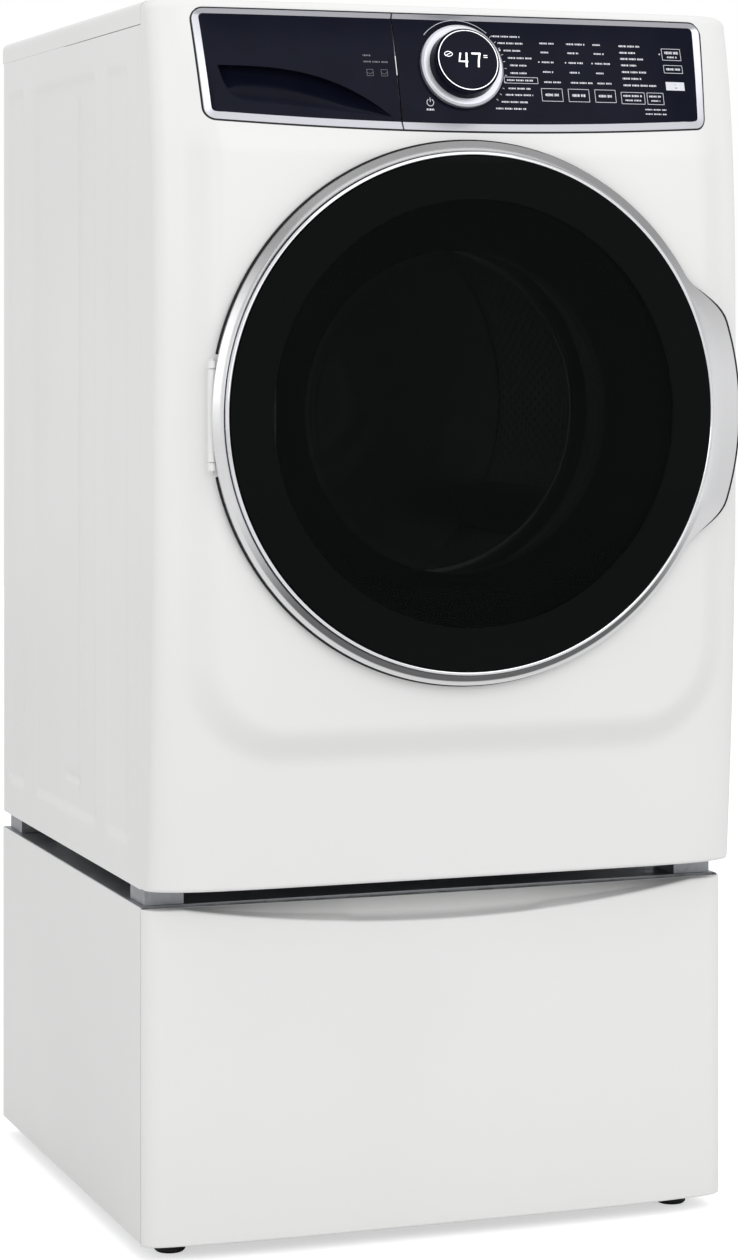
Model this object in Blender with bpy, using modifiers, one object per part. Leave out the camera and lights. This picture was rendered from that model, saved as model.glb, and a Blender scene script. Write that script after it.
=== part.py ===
"""Front load washing machine standing on its storage pedestal, as separate parts on moving bodies.

Lengths are written in millimetres with y counted from the seam between the side panels and the front
panel, -y towards the user; place() turns them into metres with the origin at the bottom centre.
"""

import math

import bmesh
import bpy
import numpy as np
from mathutils import Matrix, Vector

MM = 0.001

# Driving dimensions, millimetres.
HALF_WIDTH = 343.0
TOP_Z = 1360.0
COVER_SEAM_Z = 1334.0
WASHER_BOTTOM_Z = 401.0
PEDESTAL_TOP_Z = 381.0
PEDESTAL_BOTTOM_Z = 19.0
REAR_Y = 624.4
REARMOST_Y = 645.0
GLASS_APEX_Y = -126.0
DEPTH_CENTRE = (GLASS_APEX_Y + REARMOST_Y) / 2
SHEET = 1.2
FIT = 0.4

# The door, its hinge and the drum share one horizontal axis.
AXIS_Z = 914.0
GLASS_R = 277.9
RING_R = 294.6
BUMPER_R = 296.6
OPENING_R = 205.0
SEAT_R = 289.5
SEAT_Y = -54.0
HINGE_X = -292.0
HINGE_Y = -97.0
WING_REACH = 26.6
WING_HALF_ANGLE = 31.0
TOP_CORNER = 12.0
TOP_ROLL = 15.0

# The washing unit behind the door.
TUB_R = 280.0
TUB_WALL = 6.0
TUB_FRONT_Y = 30.0
TUB_SPLIT_Y = 268.0
TUB_REAR_Y = 518.0
DRUM_R = 268.0
DRUM_FRONT_Y = 50.0
DRUM_REAR_Y = 478.0
SHAFT_R = 14.0
DRUM_PULLEY_R = 150.0
MOTOR_PULLEY_R = 12.5
MOTOR_Z = 556.0
MOTOR_R = 60.0
PULLEY_Y = 590.0
SPRING_X = 316.0
DAMPER_X = 200.0
HANGING_Y = 255.0

# The control panel and the detergent drawer, as an outline on the front surface.
PANEL_LEFT = -299.0
PANEL_RIGHT = 299.0
PANEL_SPLIT_X = -72.0
PANEL_TOP_Z = 1349.3
PANEL_BOTTOM_Z = 1220.4
PANEL_END_RISE = 9.6
PANEL_CORNER = 13.0
PANEL_LEAN = 6.0
DIAL_X = 3.0
DIAL_Z = 1291.5
DIAL_R = 48.0
LENS_R = 35.2

# The storage drawer.
DRAWER_TOP_Z = 380.0
DRAWER_BOTTOM_Z = 17.0
DRAWER_DIP = 26.0
DRAWER_BIN_HALF = 304.0

FOOT_PLACES = [(-300, 34), (300, 34), (-300, 590), (300, 590)]

SEGMENTS = 40
MERGE = 0.00001


# ---------------------------------------------------------------- placing and materials


def place(x, y, z):
    """The point (x, y, z) in millimetres from the front seam, as metres in the part's own frame."""
    return Vector((x, y - DEPTH_CENTRE, z)) * MM


def material(name, colour, roughness, metallic=0.0):
    made = bpy.data.materials.new(name)
    made.use_nodes = True
    shader = made.node_tree.nodes["Principled BSDF"]
    shader.inputs["Base Color"].default_value = (*colour, 1.0)
    shader.inputs["Roughness"].default_value = roughness
    shader.inputs["Metallic"].default_value = metallic
    made.diffuse_color = (*colour, 1.0)
    return made


def clear_scene():
    for existing in list(bpy.data.objects):
        bpy.data.objects.remove(existing, do_unlink=True)


def collection(name):
    made = bpy.data.collections.new(name)
    bpy.context.scene.collection.children.link(made)
    return made


clear_scene()
PARTS = collection("front_load_washing_machine")
CUTTERS = collection("cutters")

WHITE = material("white_enamel", (0.80, 0.80, 0.80), 0.3)
SILVER = material("silver_trim", (0.62, 0.62, 0.68), 0.3, 0.8)
CHROME = material("chrome_trim", (0.85, 0.85, 0.88), 0.1, 1.0)
GLASS = material("dark_glass", (0.01, 0.012, 0.012), 0.05)
NAVY = material("navy_gloss", (0.008, 0.009, 0.02), 0.15)
STEEL = material("stainless_steel", (0.6, 0.6, 0.6), 0.25, 1.0)
ZINC = material("galvanised_steel", (0.45, 0.46, 0.48), 0.45, 0.8)
RUBBER = material("grey_rubber", (0.25, 0.25, 0.26), 0.6)
BLACK = material("black_plastic", (0.02, 0.02, 0.02), 0.5)
GREY = material("grey_plastic", (0.35, 0.36, 0.38), 0.5)
CAST_IRON = material("cast_iron", (0.12, 0.12, 0.13), 0.7)
TUB_PLASTIC = material("tub_plastic", (0.62, 0.63, 0.62), 0.5)


# ---------------------------------------------------------------- shapes


def add(name, mesh, coat, home=None, at=None, turn=None):
    """One object in a collection, at a point in the part's frame."""
    made = bpy.data.objects.new(name, mesh)
    (home or PARTS).objects.link(made)
    if coat:
        mesh.materials.append(coat)
    if at is not None:
        made.location = at
    if turn is not None:
        made.rotation_euler = turn
    if home is CUTTERS:
        made.hide_render = True
        made.display_type = "WIRE"
    return made


def mesh_from(name, bm):
    mesh = bpy.data.meshes.new(name)
    bmesh.ops.recalc_face_normals(bm, faces=bm.faces)
    bm.to_mesh(mesh)
    bm.free()
    return mesh


def box(name, low, high, coat=None, home=None, soften=0.0):
    """An upright block between two corners given in millimetres."""
    size = [(b - a) * MM for a, b in zip(low, high)]
    bm = bmesh.new()
    bmesh.ops.create_cube(bm, size=1.0, matrix=Matrix.Diagonal((*size, 1.0)))
    made = add(name, mesh_from(name, bm), coat, home, place(*[(a + b) / 2 for a, b in zip(low, high)]))
    if soften:
        bevel = made.modifiers.new("soft_edges", "BEVEL")
        bevel.width = soften * MM
        bevel.segments = 2
        bevel.limit_method = "ANGLE"
    return made


def extruded(name, outline, low, high, axis, coat=None, home=None):
    """A flat outline carried along X, Y or Z; the outline's two numbers are the other two axes in order."""
    bm = bmesh.new()
    order = {"X": (2, 0, 1), "Y": (0, 2, 1), "Z": (0, 1, 2)}[axis]
    corners = []
    for point in outline:
        full = (point[0], point[1], low)
        corners.append(bm.verts.new(place(*[full[k] for k in order])))
    base = bm.faces.new(corners)
    grown = bmesh.ops.extrude_face_region(bm, geom=[base])
    step = {"X": Vector((1, 0, 0)), "Y": Vector((0, 1, 0)), "Z": Vector((0, 0, 1))}[axis] * (high - low) * MM
    moved = [item for item in grown["geom"] if isinstance(item, bmesh.types.BMVert)]
    bmesh.ops.translate(bm, vec=step, verts=moved)
    return add(name, mesh_from(name, bm), coat, home)


def turned(name, profile, centre, axis, coat=None, home=None, segments=SEGMENTS):
    """A closed (radius, height) profile in millimetres, spun about Y or Z through a centre point.

    About Y the heights are world y, so the centre's y is 0; about Z they are world z and its z is 0.
    """
    area = sum(a[0] * b[1] - b[0] * a[1] for a, b in zip(profile, profile[1:] + profile[:1]))
    points = profile if area < 0 else profile[::-1]
    shift = -DEPTH_CENTRE if axis == "Y" else 0.0
    mesh = bpy.data.meshes.new(name)
    edges = [(i, (i + 1) % len(points)) for i in range(len(points))]
    if any(point[0] == 0 for point in points):
        edges = [edge for edge in edges if points[edge[0]][0] > 0 or points[edge[1]][0] > 0]
    mesh.from_pydata([(r * MM, 0.0, (h + shift) * MM) for r, h in points], edges, [])
    where = Vector((centre[0] * MM, 0.0, centre[2] * MM))
    turn = (-math.pi / 2, 0.0, 0.0)
    if axis == "Z":
        where = place(centre[0], centre[1], 0.0)
        turn = None
    made = add(name, mesh, coat, home, where, turn)
    spin = made.modifiers.new("spin", "SCREW")
    spin.axis = "Z"
    spin.steps = segments
    spin.render_steps = segments
    spin.use_merge_vertices = True
    spin.merge_threshold = MERGE
    return made


def tube(name, points, radius, coat, resolution=2):
    """A round bar along points given in millimetres."""
    curve = bpy.data.curves.new(name, "CURVE")
    curve.dimensions = "3D"
    curve.bevel_depth = radius * MM
    curve.bevel_resolution = resolution
    curve.use_fill_caps = True
    spline = curve.splines.new("POLY")
    spline.points.add(len(points) - 1)
    for knot, point in zip(spline.points, points):
        knot.co = (*place(*point), 1.0)
    return add(name, curve, coat)


def solid_tube(name, points, radius, coat=None, home=None, resolution=2):
    """The same bar as a mesh, so that it can be cut or joined."""
    guide = tube(name + "_guide", points, radius, None, resolution)
    bpy.context.view_layer.update()
    found = guide.evaluated_get(bpy.context.evaluated_depsgraph_get())
    mesh = bpy.data.meshes.new_from_object(found)
    bm = bmesh.new()
    bm.from_mesh(mesh)
    bmesh.ops.remove_doubles(bm, verts=bm.verts, dist=MERGE)
    bm.to_mesh(mesh)
    bm.free()
    where = guide.matrix_world.copy()
    bpy.data.objects.remove(guide, do_unlink=True)
    made = add(name, mesh, coat, home)
    made.matrix_world = where
    return made


def combine(target, other, how):
    """Cuts, joins or trims a part by another object, which becomes a cutter."""
    for holder in list(other.users_collection):
        holder.objects.unlink(other)
    CUTTERS.objects.link(other)
    other.hide_render = True
    other.display_type = "WIRE"
    step = target.modifiers.new(other.name, "BOOLEAN")
    step.operation = how
    step.object = other
    step.solver = "EXACT"
    return target


def cut(target, *others):
    for other in others:
        combine(target, other, "DIFFERENCE")
    return target


def join(target, *others):
    for other in others:
        combine(target, other, "UNION")
    return target


def trim(target, other):
    return combine(target, other, "INTERSECT")


def arc(x, z, radius, start, stop, steps):
    """Points on a circle from one angle to another, in degrees."""
    angles = np.radians(np.linspace(start, stop, steps + 1))
    return [(x + radius * math.cos(a), z + radius * math.sin(a)) for a in angles]


def rounded(left, low, right, high, radius, steps=3):
    """A rounded rectangle's outline, anticlockwise."""
    return (
        arc(right - radius, low + radius, radius, -90, 0, steps)
        + arc(right - radius, high - radius, radius, 0, 90, steps)
        + arc(left + radius, high - radius, radius, 90, 180, steps)
        + arc(left + radius, low + radius, radius, 180, 270, steps)
    )


def shade_round(target):
    mesh = target.data
    if isinstance(mesh, bpy.types.Mesh) and mesh.polygons:
        mesh.shade_smooth()
        mesh.set_sharp_from_angle(angle=math.radians(35))


# ---------------------------------------------------------------- the front surface


def smoothstep(t):
    t = np.clip(t, 0.0, 1.0)
    return t * t * (3 - 2 * t)


def edge_line(z):
    """How far forward the panel stands at its side edges: a low bow, leaning back above the door."""
    low = -44.7 + 20 * ((880 - z) / 445) ** 2
    high = -44.7 + 30.7 * ((z - 880) / 465) ** 4
    return np.where(z < 880, low, high)


def crown(x):
    """0 at the side edges and 1 over the middle, as a superellipse with full shoulders."""
    return np.sqrt(np.clip(1 - np.abs(x / HALF_WIDTH) ** 8, 0.0, 1.0))


def pad(x, z):
    """0 to 1 on the raised pad round the door, whose lower edge is a wide U with round corners."""
    half, low, corner = 322.0, 535.0, 120.0
    across = np.maximum(np.abs(x) - (half - corner), 0.0)
    down = np.maximum((low + corner) - z, 0.0)
    return smoothstep((corner - np.hypot(across, down)) / 45.0)


def front_y(x, z):
    """The front surface: the edge line, less the crowned shoulders and the pad round the door."""
    x, z = np.asarray(x, float), np.minimum(np.asarray(z, float), 1345.0)
    rise = np.interp(z, (1198, 1232, 1345), (20.0, 11.0, -3.0))
    return edge_line(z) - crown(x) * (35.0 + rise * pad(x, z))


def surface_sheet(name, offset, thick, home, columns, rows):
    """The front surface moved forward by offset and given a thickness towards the inside."""
    bm = bmesh.new()
    grid = []
    for z in rows:
        line = []
        for x in columns:
            y = float(front_y(x, z)) - offset
            line.append(bm.verts.new(place(x, y, z)))
        grid.append(line)
    for lower, upper in zip(grid, grid[1:]):
        for k in range(len(columns) - 1):
            bm.faces.new((lower[k], lower[k + 1], upper[k + 1], upper[k]))
    for face in bm.faces:
        face.normal_update()
    mesh = bpy.data.meshes.new(name)
    bm.to_mesh(mesh)
    bm.free()
    made = add(name, mesh, None, home)
    shell = made.modifiers.new("wall", "SOLIDIFY")
    shell.thickness = thick * MM
    shell.offset = -1.0
    return made


def space_ahead(name, columns, rows):
    """The block of space in front of the front surface, starting 0.3 mm behind it."""
    bm = bmesh.new()
    grid = [[bm.verts.new(place(x, float(front_y(x, z)) + 0.3, z)) for x in columns] for z in rows]
    for lower, upper in zip(grid, grid[1:]):
        for k in range(len(columns) - 1):
            bm.faces.new((lower[k], lower[k + 1], upper[k + 1], upper[k]))
    grown = bmesh.ops.extrude_face_region(bm, geom=list(bm.faces))
    for item in grown["geom"]:
        if isinstance(item, bmesh.types.BMVert):
            item.co.y = place(0, -170, 0).y
    return add(name, mesh_from(name, bm), None, CUTTERS)


FRONT_COLUMNS = [-343, -342.2, -339, -332, -318, -298, -270, -230, -170, -90, 0,
                 90, 170, 230, 270, 298, 318, 332, 339, 342.2, 343]
LAYER_COLUMNS = [-320, -300, -280, -230, -150, -64, 0, 60, 120, 180, 240, 280, 300, 320]
LAYER_ROWS = [1205, 1222, 1235, 1260, 1290, 1320, 1345, 1375]


def front_layer(name, front, back):
    """The slice of space between two offsets of the front surface, over the control panel."""
    return surface_sheet("cut_" + name, front, front - back, CUTTERS, LAYER_COLUMNS, LAYER_ROWS)


def panel_low(x):
    """The control panel's lower edge: a shallow sagging arc."""
    return PANEL_BOTTOM_Z + PANEL_END_RISE * (x / 298.0) ** 2


def panel_outline(left, right, inset_low, inset_high, inset_side, round_left, round_right):
    """The outline of a stretch of the control panel, from inset values on each side."""
    high = PANEL_TOP_Z - inset_high
    corner = max(PANEL_CORNER - inset_side, 4.0)
    start = left + (inset_side if round_left else 0.0)
    stop = right - (inset_side if round_right else 0.0)
    points = []
    if round_left:
        turn_z = panel_low(start + corner) + inset_low + corner
        points += arc(start + PANEL_LEAN + corner, turn_z, corner, 180, 270, 3)
    else:
        points.append((start, panel_low(start) + inset_low))
    for k in range(1, 5):
        x = start + (stop - start) * k / 5
        points.append((x, panel_low(x) + inset_low))
    if round_right:
        turn_z = panel_low(stop - corner) + inset_low + corner
        points += arc(stop - PANEL_LEAN - corner, turn_z, corner, -90, 0, 3)
        points += arc(stop - corner, high - corner, corner, 0, 90, 3)
    else:
        points += [(stop, panel_low(stop) + inset_low), (stop, high)]
    if round_left:
        points += arc(start + corner, high - corner, corner, 90, 180, 3)
    else:
        points.append((start, high))
    return points


# ---------------------------------------------------------------- cabinet


def cabinet_side(name, side):
    """A folded side panel with front and rear flanges and the shelf that its suspension spring hangs from."""
    outer, flange = HALF_WIDTH, HALF_WIDTH - 18
    outline = [
        (flange, FIT), (outer, FIT), (outer, REAR_Y - 2.4), (flange, REAR_Y - 2.4),
        (flange, REAR_Y - 4.4), (outer - SHEET, REAR_Y - 4.4), (outer - SHEET, FIT + SHEET), (flange, FIT + SHEET),
    ]
    outline = [(side * x, y) for x, y in outline]
    panel = extruded(name, outline, WASHER_BOTTOM_Z, COVER_SEAM_Z - 0.8, "Z", WHITE)
    reach = sorted((side * 300, side * (outer - 1)))
    shelf = box(name + "_shelf", (reach[0], 235, 1297.5), (reach[1], 275, 1300.5))
    return join(panel, shelf)


def corner_half(z):
    """Half the width at a height: full up to the rounded top corner."""
    drop = max(z - (TOP_Z - TOP_CORNER), 0.0)
    return HALF_WIDTH - TOP_CORNER + math.sqrt(max(TOP_CORNER ** 2 - drop ** 2, 0.0))


def front_skin():
    """The bowed sheet with its side returns, its rolled top and its rounded foot."""
    rows = [(403.0, 12.0), (405.0, 4.0), (411.0, 0.0)]
    rows += [(z, 0.0) for z in (470, 535, 575, 615, 700, 800, 914, 1040, 1150, 1198, 1232, 1265, 1300, 1325)]
    turn_z = TOP_Z - TOP_ROLL
    angles = np.radians((0, 30, 60, 90))
    rows += [(turn_z + TOP_ROLL * math.sin(a), TOP_ROLL * (1 - math.cos(a))) for a in angles]
    bm = bmesh.new()
    grid = []
    for z, back in rows:
        half = corner_half(z)
        line = []
        for x in FRONT_COLUMNS:
            y = min(float(front_y(x, min(z, turn_z))) + back, -FIT - 0.2)
            line.append((x * half / HALF_WIDTH, y))
        line = [(-half, -FIT)] + line + [(half, -FIT)]
        grid.append([bm.verts.new(place(x, y, z)) for x, y in line])
    grid.append([bm.verts.new((v.co.x, place(0, -FIT, 0).y, v.co.z)) for v in grid[-1]])
    for lower, upper in zip(grid, grid[1:]):
        for k in range(len(lower) - 1):
            bm.faces.new((lower[k], lower[k + 1], upper[k + 1], upper[k]))
    bmesh.ops.remove_doubles(bm, verts=bm.verts, dist=0.0001)
    mesh = bpy.data.meshes.new("front_panel")
    bm.to_mesh(mesh)
    bm.free()
    skin = add("front_panel", mesh, WHITE)
    wall = skin.modifiers.new("wall", "SOLIDIFY")
    wall.thickness = SHEET * MM
    wall.offset = -1.0
    return skin


def front_panel():
    """The front skin with the control panel's opening and, round the loading hole, the door's recessed seat."""
    panel = front_skin()
    profile = [(0, -150), (SEAT_R + 1, -150), (SEAT_R + 1, -5), (0, -5)]
    hole = turned("cut_door_recess", profile, (0, 0, AXIS_Z), "Y", None, CUTTERS)
    outline = panel_outline(PANEL_LEFT - 1, PANEL_RIGHT + 1, -1, -1, 0, True, True)
    console = extruded("cut_console", outline, -130, -5, "Y", None, CUTTERS)
    profile = [(OPENING_R, SEAT_Y), (SEAT_R, SEAT_Y), (SEAT_R, -130), (SEAT_R + 3, -130),
               (SEAT_R + 3, SEAT_Y + SHEET), (OPENING_R, SEAT_Y + SHEET)]
    seat = turned("door_seat", profile, (0, 0, AXIS_Z), "Y")
    rows = [580, 615, 655, 720, 820, 914, 1040, 1150, 1198, 1232, 1265]
    columns = [-335, -325] + FRONT_COLUMNS[5:16] + [325, 335]
    cut(seat, space_ahead("cut_ahead_of_front", columns, rows))
    slot = box("cut_hook_slot", (230, SEAT_Y - 5, AXIS_Z - 10), (256, SEAT_Y + 6, AXIS_Z + 10), None, CUTTERS)
    cut(panel, hole, console)
    return cut(join(panel, seat), slot)


def top_cover():
    """The lid of the cabinet, open below, with its side edges rounded over."""
    outer = [(-HALF_WIDTH, COVER_SEAM_Z), (HALF_WIDTH, COVER_SEAM_Z)]
    outer += arc(HALF_WIDTH - TOP_CORNER, TOP_Z - TOP_CORNER, TOP_CORNER, 0, 90, 4)
    outer += arc(TOP_CORNER - HALF_WIDTH, TOP_Z - TOP_CORNER, TOP_CORNER, 90, 180, 4)
    lid = extruded("top_cover", outer, FIT, REAR_Y + 1.6, "Y", WHITE)
    half, top, corner = HALF_WIDTH - SHEET, TOP_Z - SHEET, TOP_CORNER - SHEET
    inner = [(-half, COVER_SEAM_Z - 10), (half, COVER_SEAM_Z - 10)]
    inner += arc(half - corner, top - corner, corner, 0, 90, 4)
    inner += arc(corner - half, top - corner, corner, 90, 180, 4)
    return cut(lid, extruded("cut_top_cover", inner, FIT - 10, REAR_Y, "Y", None, CUTTERS))


def rear_panel():
    """The flat back, with a tall access opening and holes for the water, drain and power connections."""
    plate = box("rear_panel", (-342, REAR_Y - SHEET, WASHER_BOTTOM_Z + 1), (342, REAR_Y, COVER_SEAM_Z - 0.8), WHITE)
    opening = extruded("cut_rear_access", rounded(-165, 486, 165, 1084, 60), REAR_Y - 20, REAR_Y + 20, "Y", None, CUTTERS)
    holes = [
        turned("cut_rear_hole_%d" % k, [(0, 600), (r, 600), (r, 640), (0, 640)], (x, 0, z), "Y", None, CUTTERS, 16)
        for k, (x, z, r) in enumerate(((205, 1272, 15), (255, 1272, 15), (-255, 1272, 12), (-255, 450, 15)))
    ]
    return cut(plate, opening, *holes)


def rear_access_cover():
    """A dished plate over the belt and pulleys."""
    plate = extruded("rear_access_cover", rounded(-182, 469, 182, 1101, 70), REAR_Y + FIT, REAR_Y + FIT + 2, "Y", WHITE)
    dish = extruded("access_dish", rounded(-158, 493, 158, 1077, 55), REAR_Y + FIT + 1, REAR_Y + 13, "Y")
    hollow = extruded("cut_access_dish", rounded(-156, 495, 156, 1075, 53), REAR_Y - 5, REAR_Y + 11, "Y", None, CUTTERS)
    return cut(join(plate, dish), hollow)


def base_frame():
    """The floor frame of the washer with an open middle and four pads that stand on the pedestal."""
    plate = box("base_frame", (-338, 6, 404), (338, 614, 406.5), ZINC)
    lip = box("base_lip", (-338, 6, 404), (338, 8.5, 425))
    lip_rear = box("base_lip_rear", (-338, 611.5, 404), (338, 614, 425))
    pads = [
        box("base_pad_%d" % k, (min(x, x + s * 44), y, PEDESTAL_TOP_Z + 0.8), (max(x, x + s * 44), y + 56, 405))
        for k, (x, y, s) in enumerate(((-336, 8, 1), (336, 8, -1), (-336, 556, 1), (336, 556, -1)))
    ]
    hole = box("cut_base", (-150, 120, 390), (150, 520, 420), None, CUTTERS)
    return cut(join(plate, lip, lip_rear, *pads), hole)


def knuckle(name, low, high, coat=None):
    """A solid barrel on the hinge's axis, between two heights from the door's centre."""
    profile = [(0, AXIS_Z + low), (5, AXIS_Z + low), (5, AXIS_Z + high), (0, AXIS_Z + high)]
    return turned(name, profile, (HINGE_X, HINGE_Y, 0), "Z", coat, None, 16)


def hinge_bore(name):
    profile = [(0, AXIS_Z - 90), (2.6, AXIS_Z - 90), (2.6, AXIS_Z + 90), (0, AXIS_Z + 90)]
    return turned("cut_" + name, profile, (HINGE_X, HINGE_Y, 0), "Z", None, CUTTERS, 12)


def hinge_bracket():
    """The fixed plate behind the door's left edge, with an ear above and below the moving knuckle."""
    plate = box("hinge_bracket", (-275, SEAT_Y - 3.4, AXIS_Z - 60), (-222, SEAT_Y - FIT, AXIS_Z + 60), STEEL)
    pieces = []
    for k, (low, high) in enumerate(((-58, -50), (50, 58))):
        pieces.append(box("hinge_ear_%d" % k, (-279, HINGE_Y - 4, AXIS_Z + low), (-262, SEAT_Y - 1, AXIS_Z + high)))
        pieces.append(box("hinge_strip_%d" % k, (HINGE_X, HINGE_Y - 4, AXIS_Z + low), (-270, HINGE_Y + 1.6, AXIS_Z + high)))
        pieces.append(knuckle("fixed_knuckle_%d" % k, low, high))
    return cut(join(plate, *pieces), hinge_bore("fixed_bore"))


def hinge_pin():
    profile = [(0, AXIS_Z - 60), (2.2, AXIS_Z - 60), (2.2, AXIS_Z + 60), (0, AXIS_Z + 60)]
    return turned("hinge_pin", profile, (HINGE_X, HINGE_Y, 0), "Z", STEEL, None, 12)


def door_lock():
    """The lock behind the right of the opening, with the slot that takes the door's hook."""
    body = box("door_lock", (220, SEAT_Y + SHEET + FIT, AXIS_Z - 55), (268, -8, AXIS_Z + 55), BLACK, None, 2.0)
    slot = box("cut_lock_slot", (232, SEAT_Y - 10, AXIS_Z - 14), (254, -24, AXIS_Z + 14), None, CUTTERS)
    return cut(body, slot)


def inlet_valve():
    """The hot and cold water valve with two threaded inlets through the back."""
    body = box("inlet_valve", (180, 560, 1250), (280, REAR_Y - 2.6, 1294), GREY, None, 3.0)
    spouts = [
        turned("inlet_spout_%d" % k, [(0, 600), (13, 600), (13, REARMOST_Y), (8, REARMOST_Y), (8, 625), (0, 625)],
               (x, 0, 1272), "Y", None, None, 16)
        for k, x in enumerate((205, 255))
    ]
    return join(body, *spouts)


def power_inlet():
    """The cable gland in the back, with its bore for the cord."""
    profile = [(5, 606), (11, 606), (11, REAR_Y + 0.3), (17, REAR_Y + FIT), (17, REAR_Y + 4), (9, REAR_Y + 14), (5, REAR_Y + 14)]
    return turned("power_inlet", profile, (-255, 0, 1272), "Y", BLACK, None, 16)


def drain_pump():
    """The pump on the floor frame and its rigid outlet run to the spigot in the back."""
    body = turned("drain_pump", [(0, 40), (34, 40), (34, 120), (0, 120)], (-255, 0, 452), "Y", BLACK, None, 20)
    foot = box("pump_foot", (-285, 60, 407), (-225, 100, 440))
    outlet = turned("pump_outlet", [(0, 118), (11, 118), (11, REARMOST_Y - 3), (7, REARMOST_Y - 3), (7, 600), (0, 600)],
                    (-255, 0, 450), "Y", None, None, 14)
    return join(body, foot, outlet)


def damper_body(name, side):
    profile = [(0, 407), (15, 407), (15, 560), (8.5, 560), (8.5, 425), (0, 425)]
    return turned(name, profile, (side * DAMPER_X, HANGING_Y, 0), "Z", BLACK, None, 16)


# ---------------------------------------------------------------- control panel and detergent drawer


def panel_frame(name, left, right, round_left, round_right):
    """A stretch of the silver surround: an outline less its inside, trimmed to a thin layer on the front."""
    outer = extruded(name, panel_outline(left, right, 0, 0, 0, round_left, round_right), -140, -5, "Y", SILVER)
    inner_left, inner_right = left - (0 if round_left else 30), right + (0 if round_right else 30)
    inner = extruded("cut_inside_" + name,
                     panel_outline(inner_left, inner_right, 8.5, 5.5, 8.5, round_left, round_right),
                     -150, 0, "Y", None, CUTTERS)
    return cut(trim(outer, front_layer("layer_" + name, 1.4, -14.0)), inner)


def panel_face(name, left, right, round_left, round_right):
    """A stretch of the dark face inside the surround."""
    outline = panel_outline(left, right, 9.0, 6.0, 9.4, round_left, round_right)
    face = extruded(name, outline, -140, -5, "Y", NAVY)
    return trim(face, front_layer("layer_" + name, -0.4, -6.0))


def dial_frame():
    """The turning axis of the dial: a point on the front surface and its outward normal."""
    y = float(front_y(DIAL_X, DIAL_Z))
    slope = (float(front_y(DIAL_X, DIAL_Z + 30)) - float(front_y(DIAL_X, DIAL_Z - 30))) / 60.0
    normal = Vector((0.0, -1.0, slope)).normalized()
    return Vector((DIAL_X, y, DIAL_Z)), normal


def dial_turned(name, profile, coat, home=None, segments=SEGMENTS):
    """A (radius, height above the panel) profile spun about the dial's axis."""
    point, normal = dial_frame()
    made = turned(name, profile, (0, DEPTH_CENTRE, 0), "Z", coat, home, segments)
    made.location = place(*point)
    made.rotation_euler = Vector((0, 0, 1)).rotation_difference(normal).to_euler()
    return made


def console_fascia():
    face = panel_face("console_fascia", PANEL_SPLIT_X + 0.5, PANEL_RIGHT, False, True)
    return cut(face, dial_turned("cut_dial_hole", [(0, -20), (33, -20), (33, 20), (0, 20)], None, CUTTERS, 32))


def display_lens():
    """The fixed round display on its post, standing proud inside the turning ring."""
    profile = [(0, -22), (26, -22), (26, 8.2), (LENS_R, 8.2), (LENS_R, 21), (LENS_R - 1.7, 22.4), (0, 22.4)]
    return dial_turned("display_lens", profile, NAVY)


def cycle_dial():
    """The turning ring: a flat rim and a tall collar round the display, on a sleeve through the face."""
    collar = LENS_R + 0.6
    profile = [(27, -16), (31, -16), (31, 1.2), (DIAL_R, 1.2), (DIAL_R, 4.2), (DIAL_R - 2.5, 6.6),
               (collar + 3.4, 6.6), (collar + 1.8, 20.4), (collar, 20.4), (collar, 7.5), (27, 7.5)]
    return dial_turned("cycle_dial", profile, SILVER)


def dispenser_housing():
    """The fixed box that the detergent drawer slides in, open at the front."""
    body = box("dispenser_housing", (-270, -26, 1226), (-80, 330, 1330), GREY)
    hollow = box("cut_housing", (-266, -40, 1230), (-84, 326, 1326), None, CUTTERS)
    return cut(body, hollow)


def dispenser_fascia():
    """The drawer's dark front with its scooped finger grip."""
    face = panel_face("dispenser_fascia", PANEL_LEFT, PANEL_SPLIT_X - 0.5, True, False)
    slope = [(float(front_y(-175, z)) + 5, z) for z in (1241, 1260, 1280, 1300, 1322)]
    body = extruded("fascia_back", [(-30, 1241)] + slope + [(-30, 1322)], -264, -86, "X")
    scoop = box("cut_grip", (-262, -120, 1243), (-104, -36, 1281), None, CUTTERS)
    scoop_bevel = scoop.modifiers.new("round_grip", "BEVEL")
    scoop_bevel.width = 10 * MM
    scoop_bevel.segments = 2
    return cut(join(face, body), scoop)


def dispenser_tray():
    """The sliding tray with three compartments behind the front."""
    body = box("dispenser_tray", (-262, -29.6, 1234), (-88, 240, 1296), GREY)
    wells = [
        box("cut_well_%d" % k, (x0, y0, 1238), (x1, y1, 1400), None, CUTTERS)
        for k, (x0, x1, y0, y1) in enumerate(((-258, -178, -25, 236), (-174, -92, -25, 100), (-174, -92, 104, 236)))
    ]
    return cut(body, *wells)


# ---------------------------------------------------------------- door


def wing_outline():
    """The handle's outline: the ring's edge swelling outwards on the right, smoothly at both ends."""
    points = []
    for degrees in np.linspace(-WING_HALF_ANGLE, WING_HALF_ANGLE, 25):
        reach = WING_REACH * float(smoothstep((WING_HALF_ANGLE - abs(degrees)) / 13.0))
        a = math.radians(degrees)
        points.append(((RING_R - 0.5 + reach) * math.cos(a), AXIS_Z + (RING_R - 0.5 + reach) * math.sin(a)))
    inner = [(286 * math.cos(a), AXIS_Z + 286 * math.sin(a))
             for a in np.radians(np.linspace(WING_HALF_ANGLE, -WING_HALF_ANGLE, 13))]
    return points + inner


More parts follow.
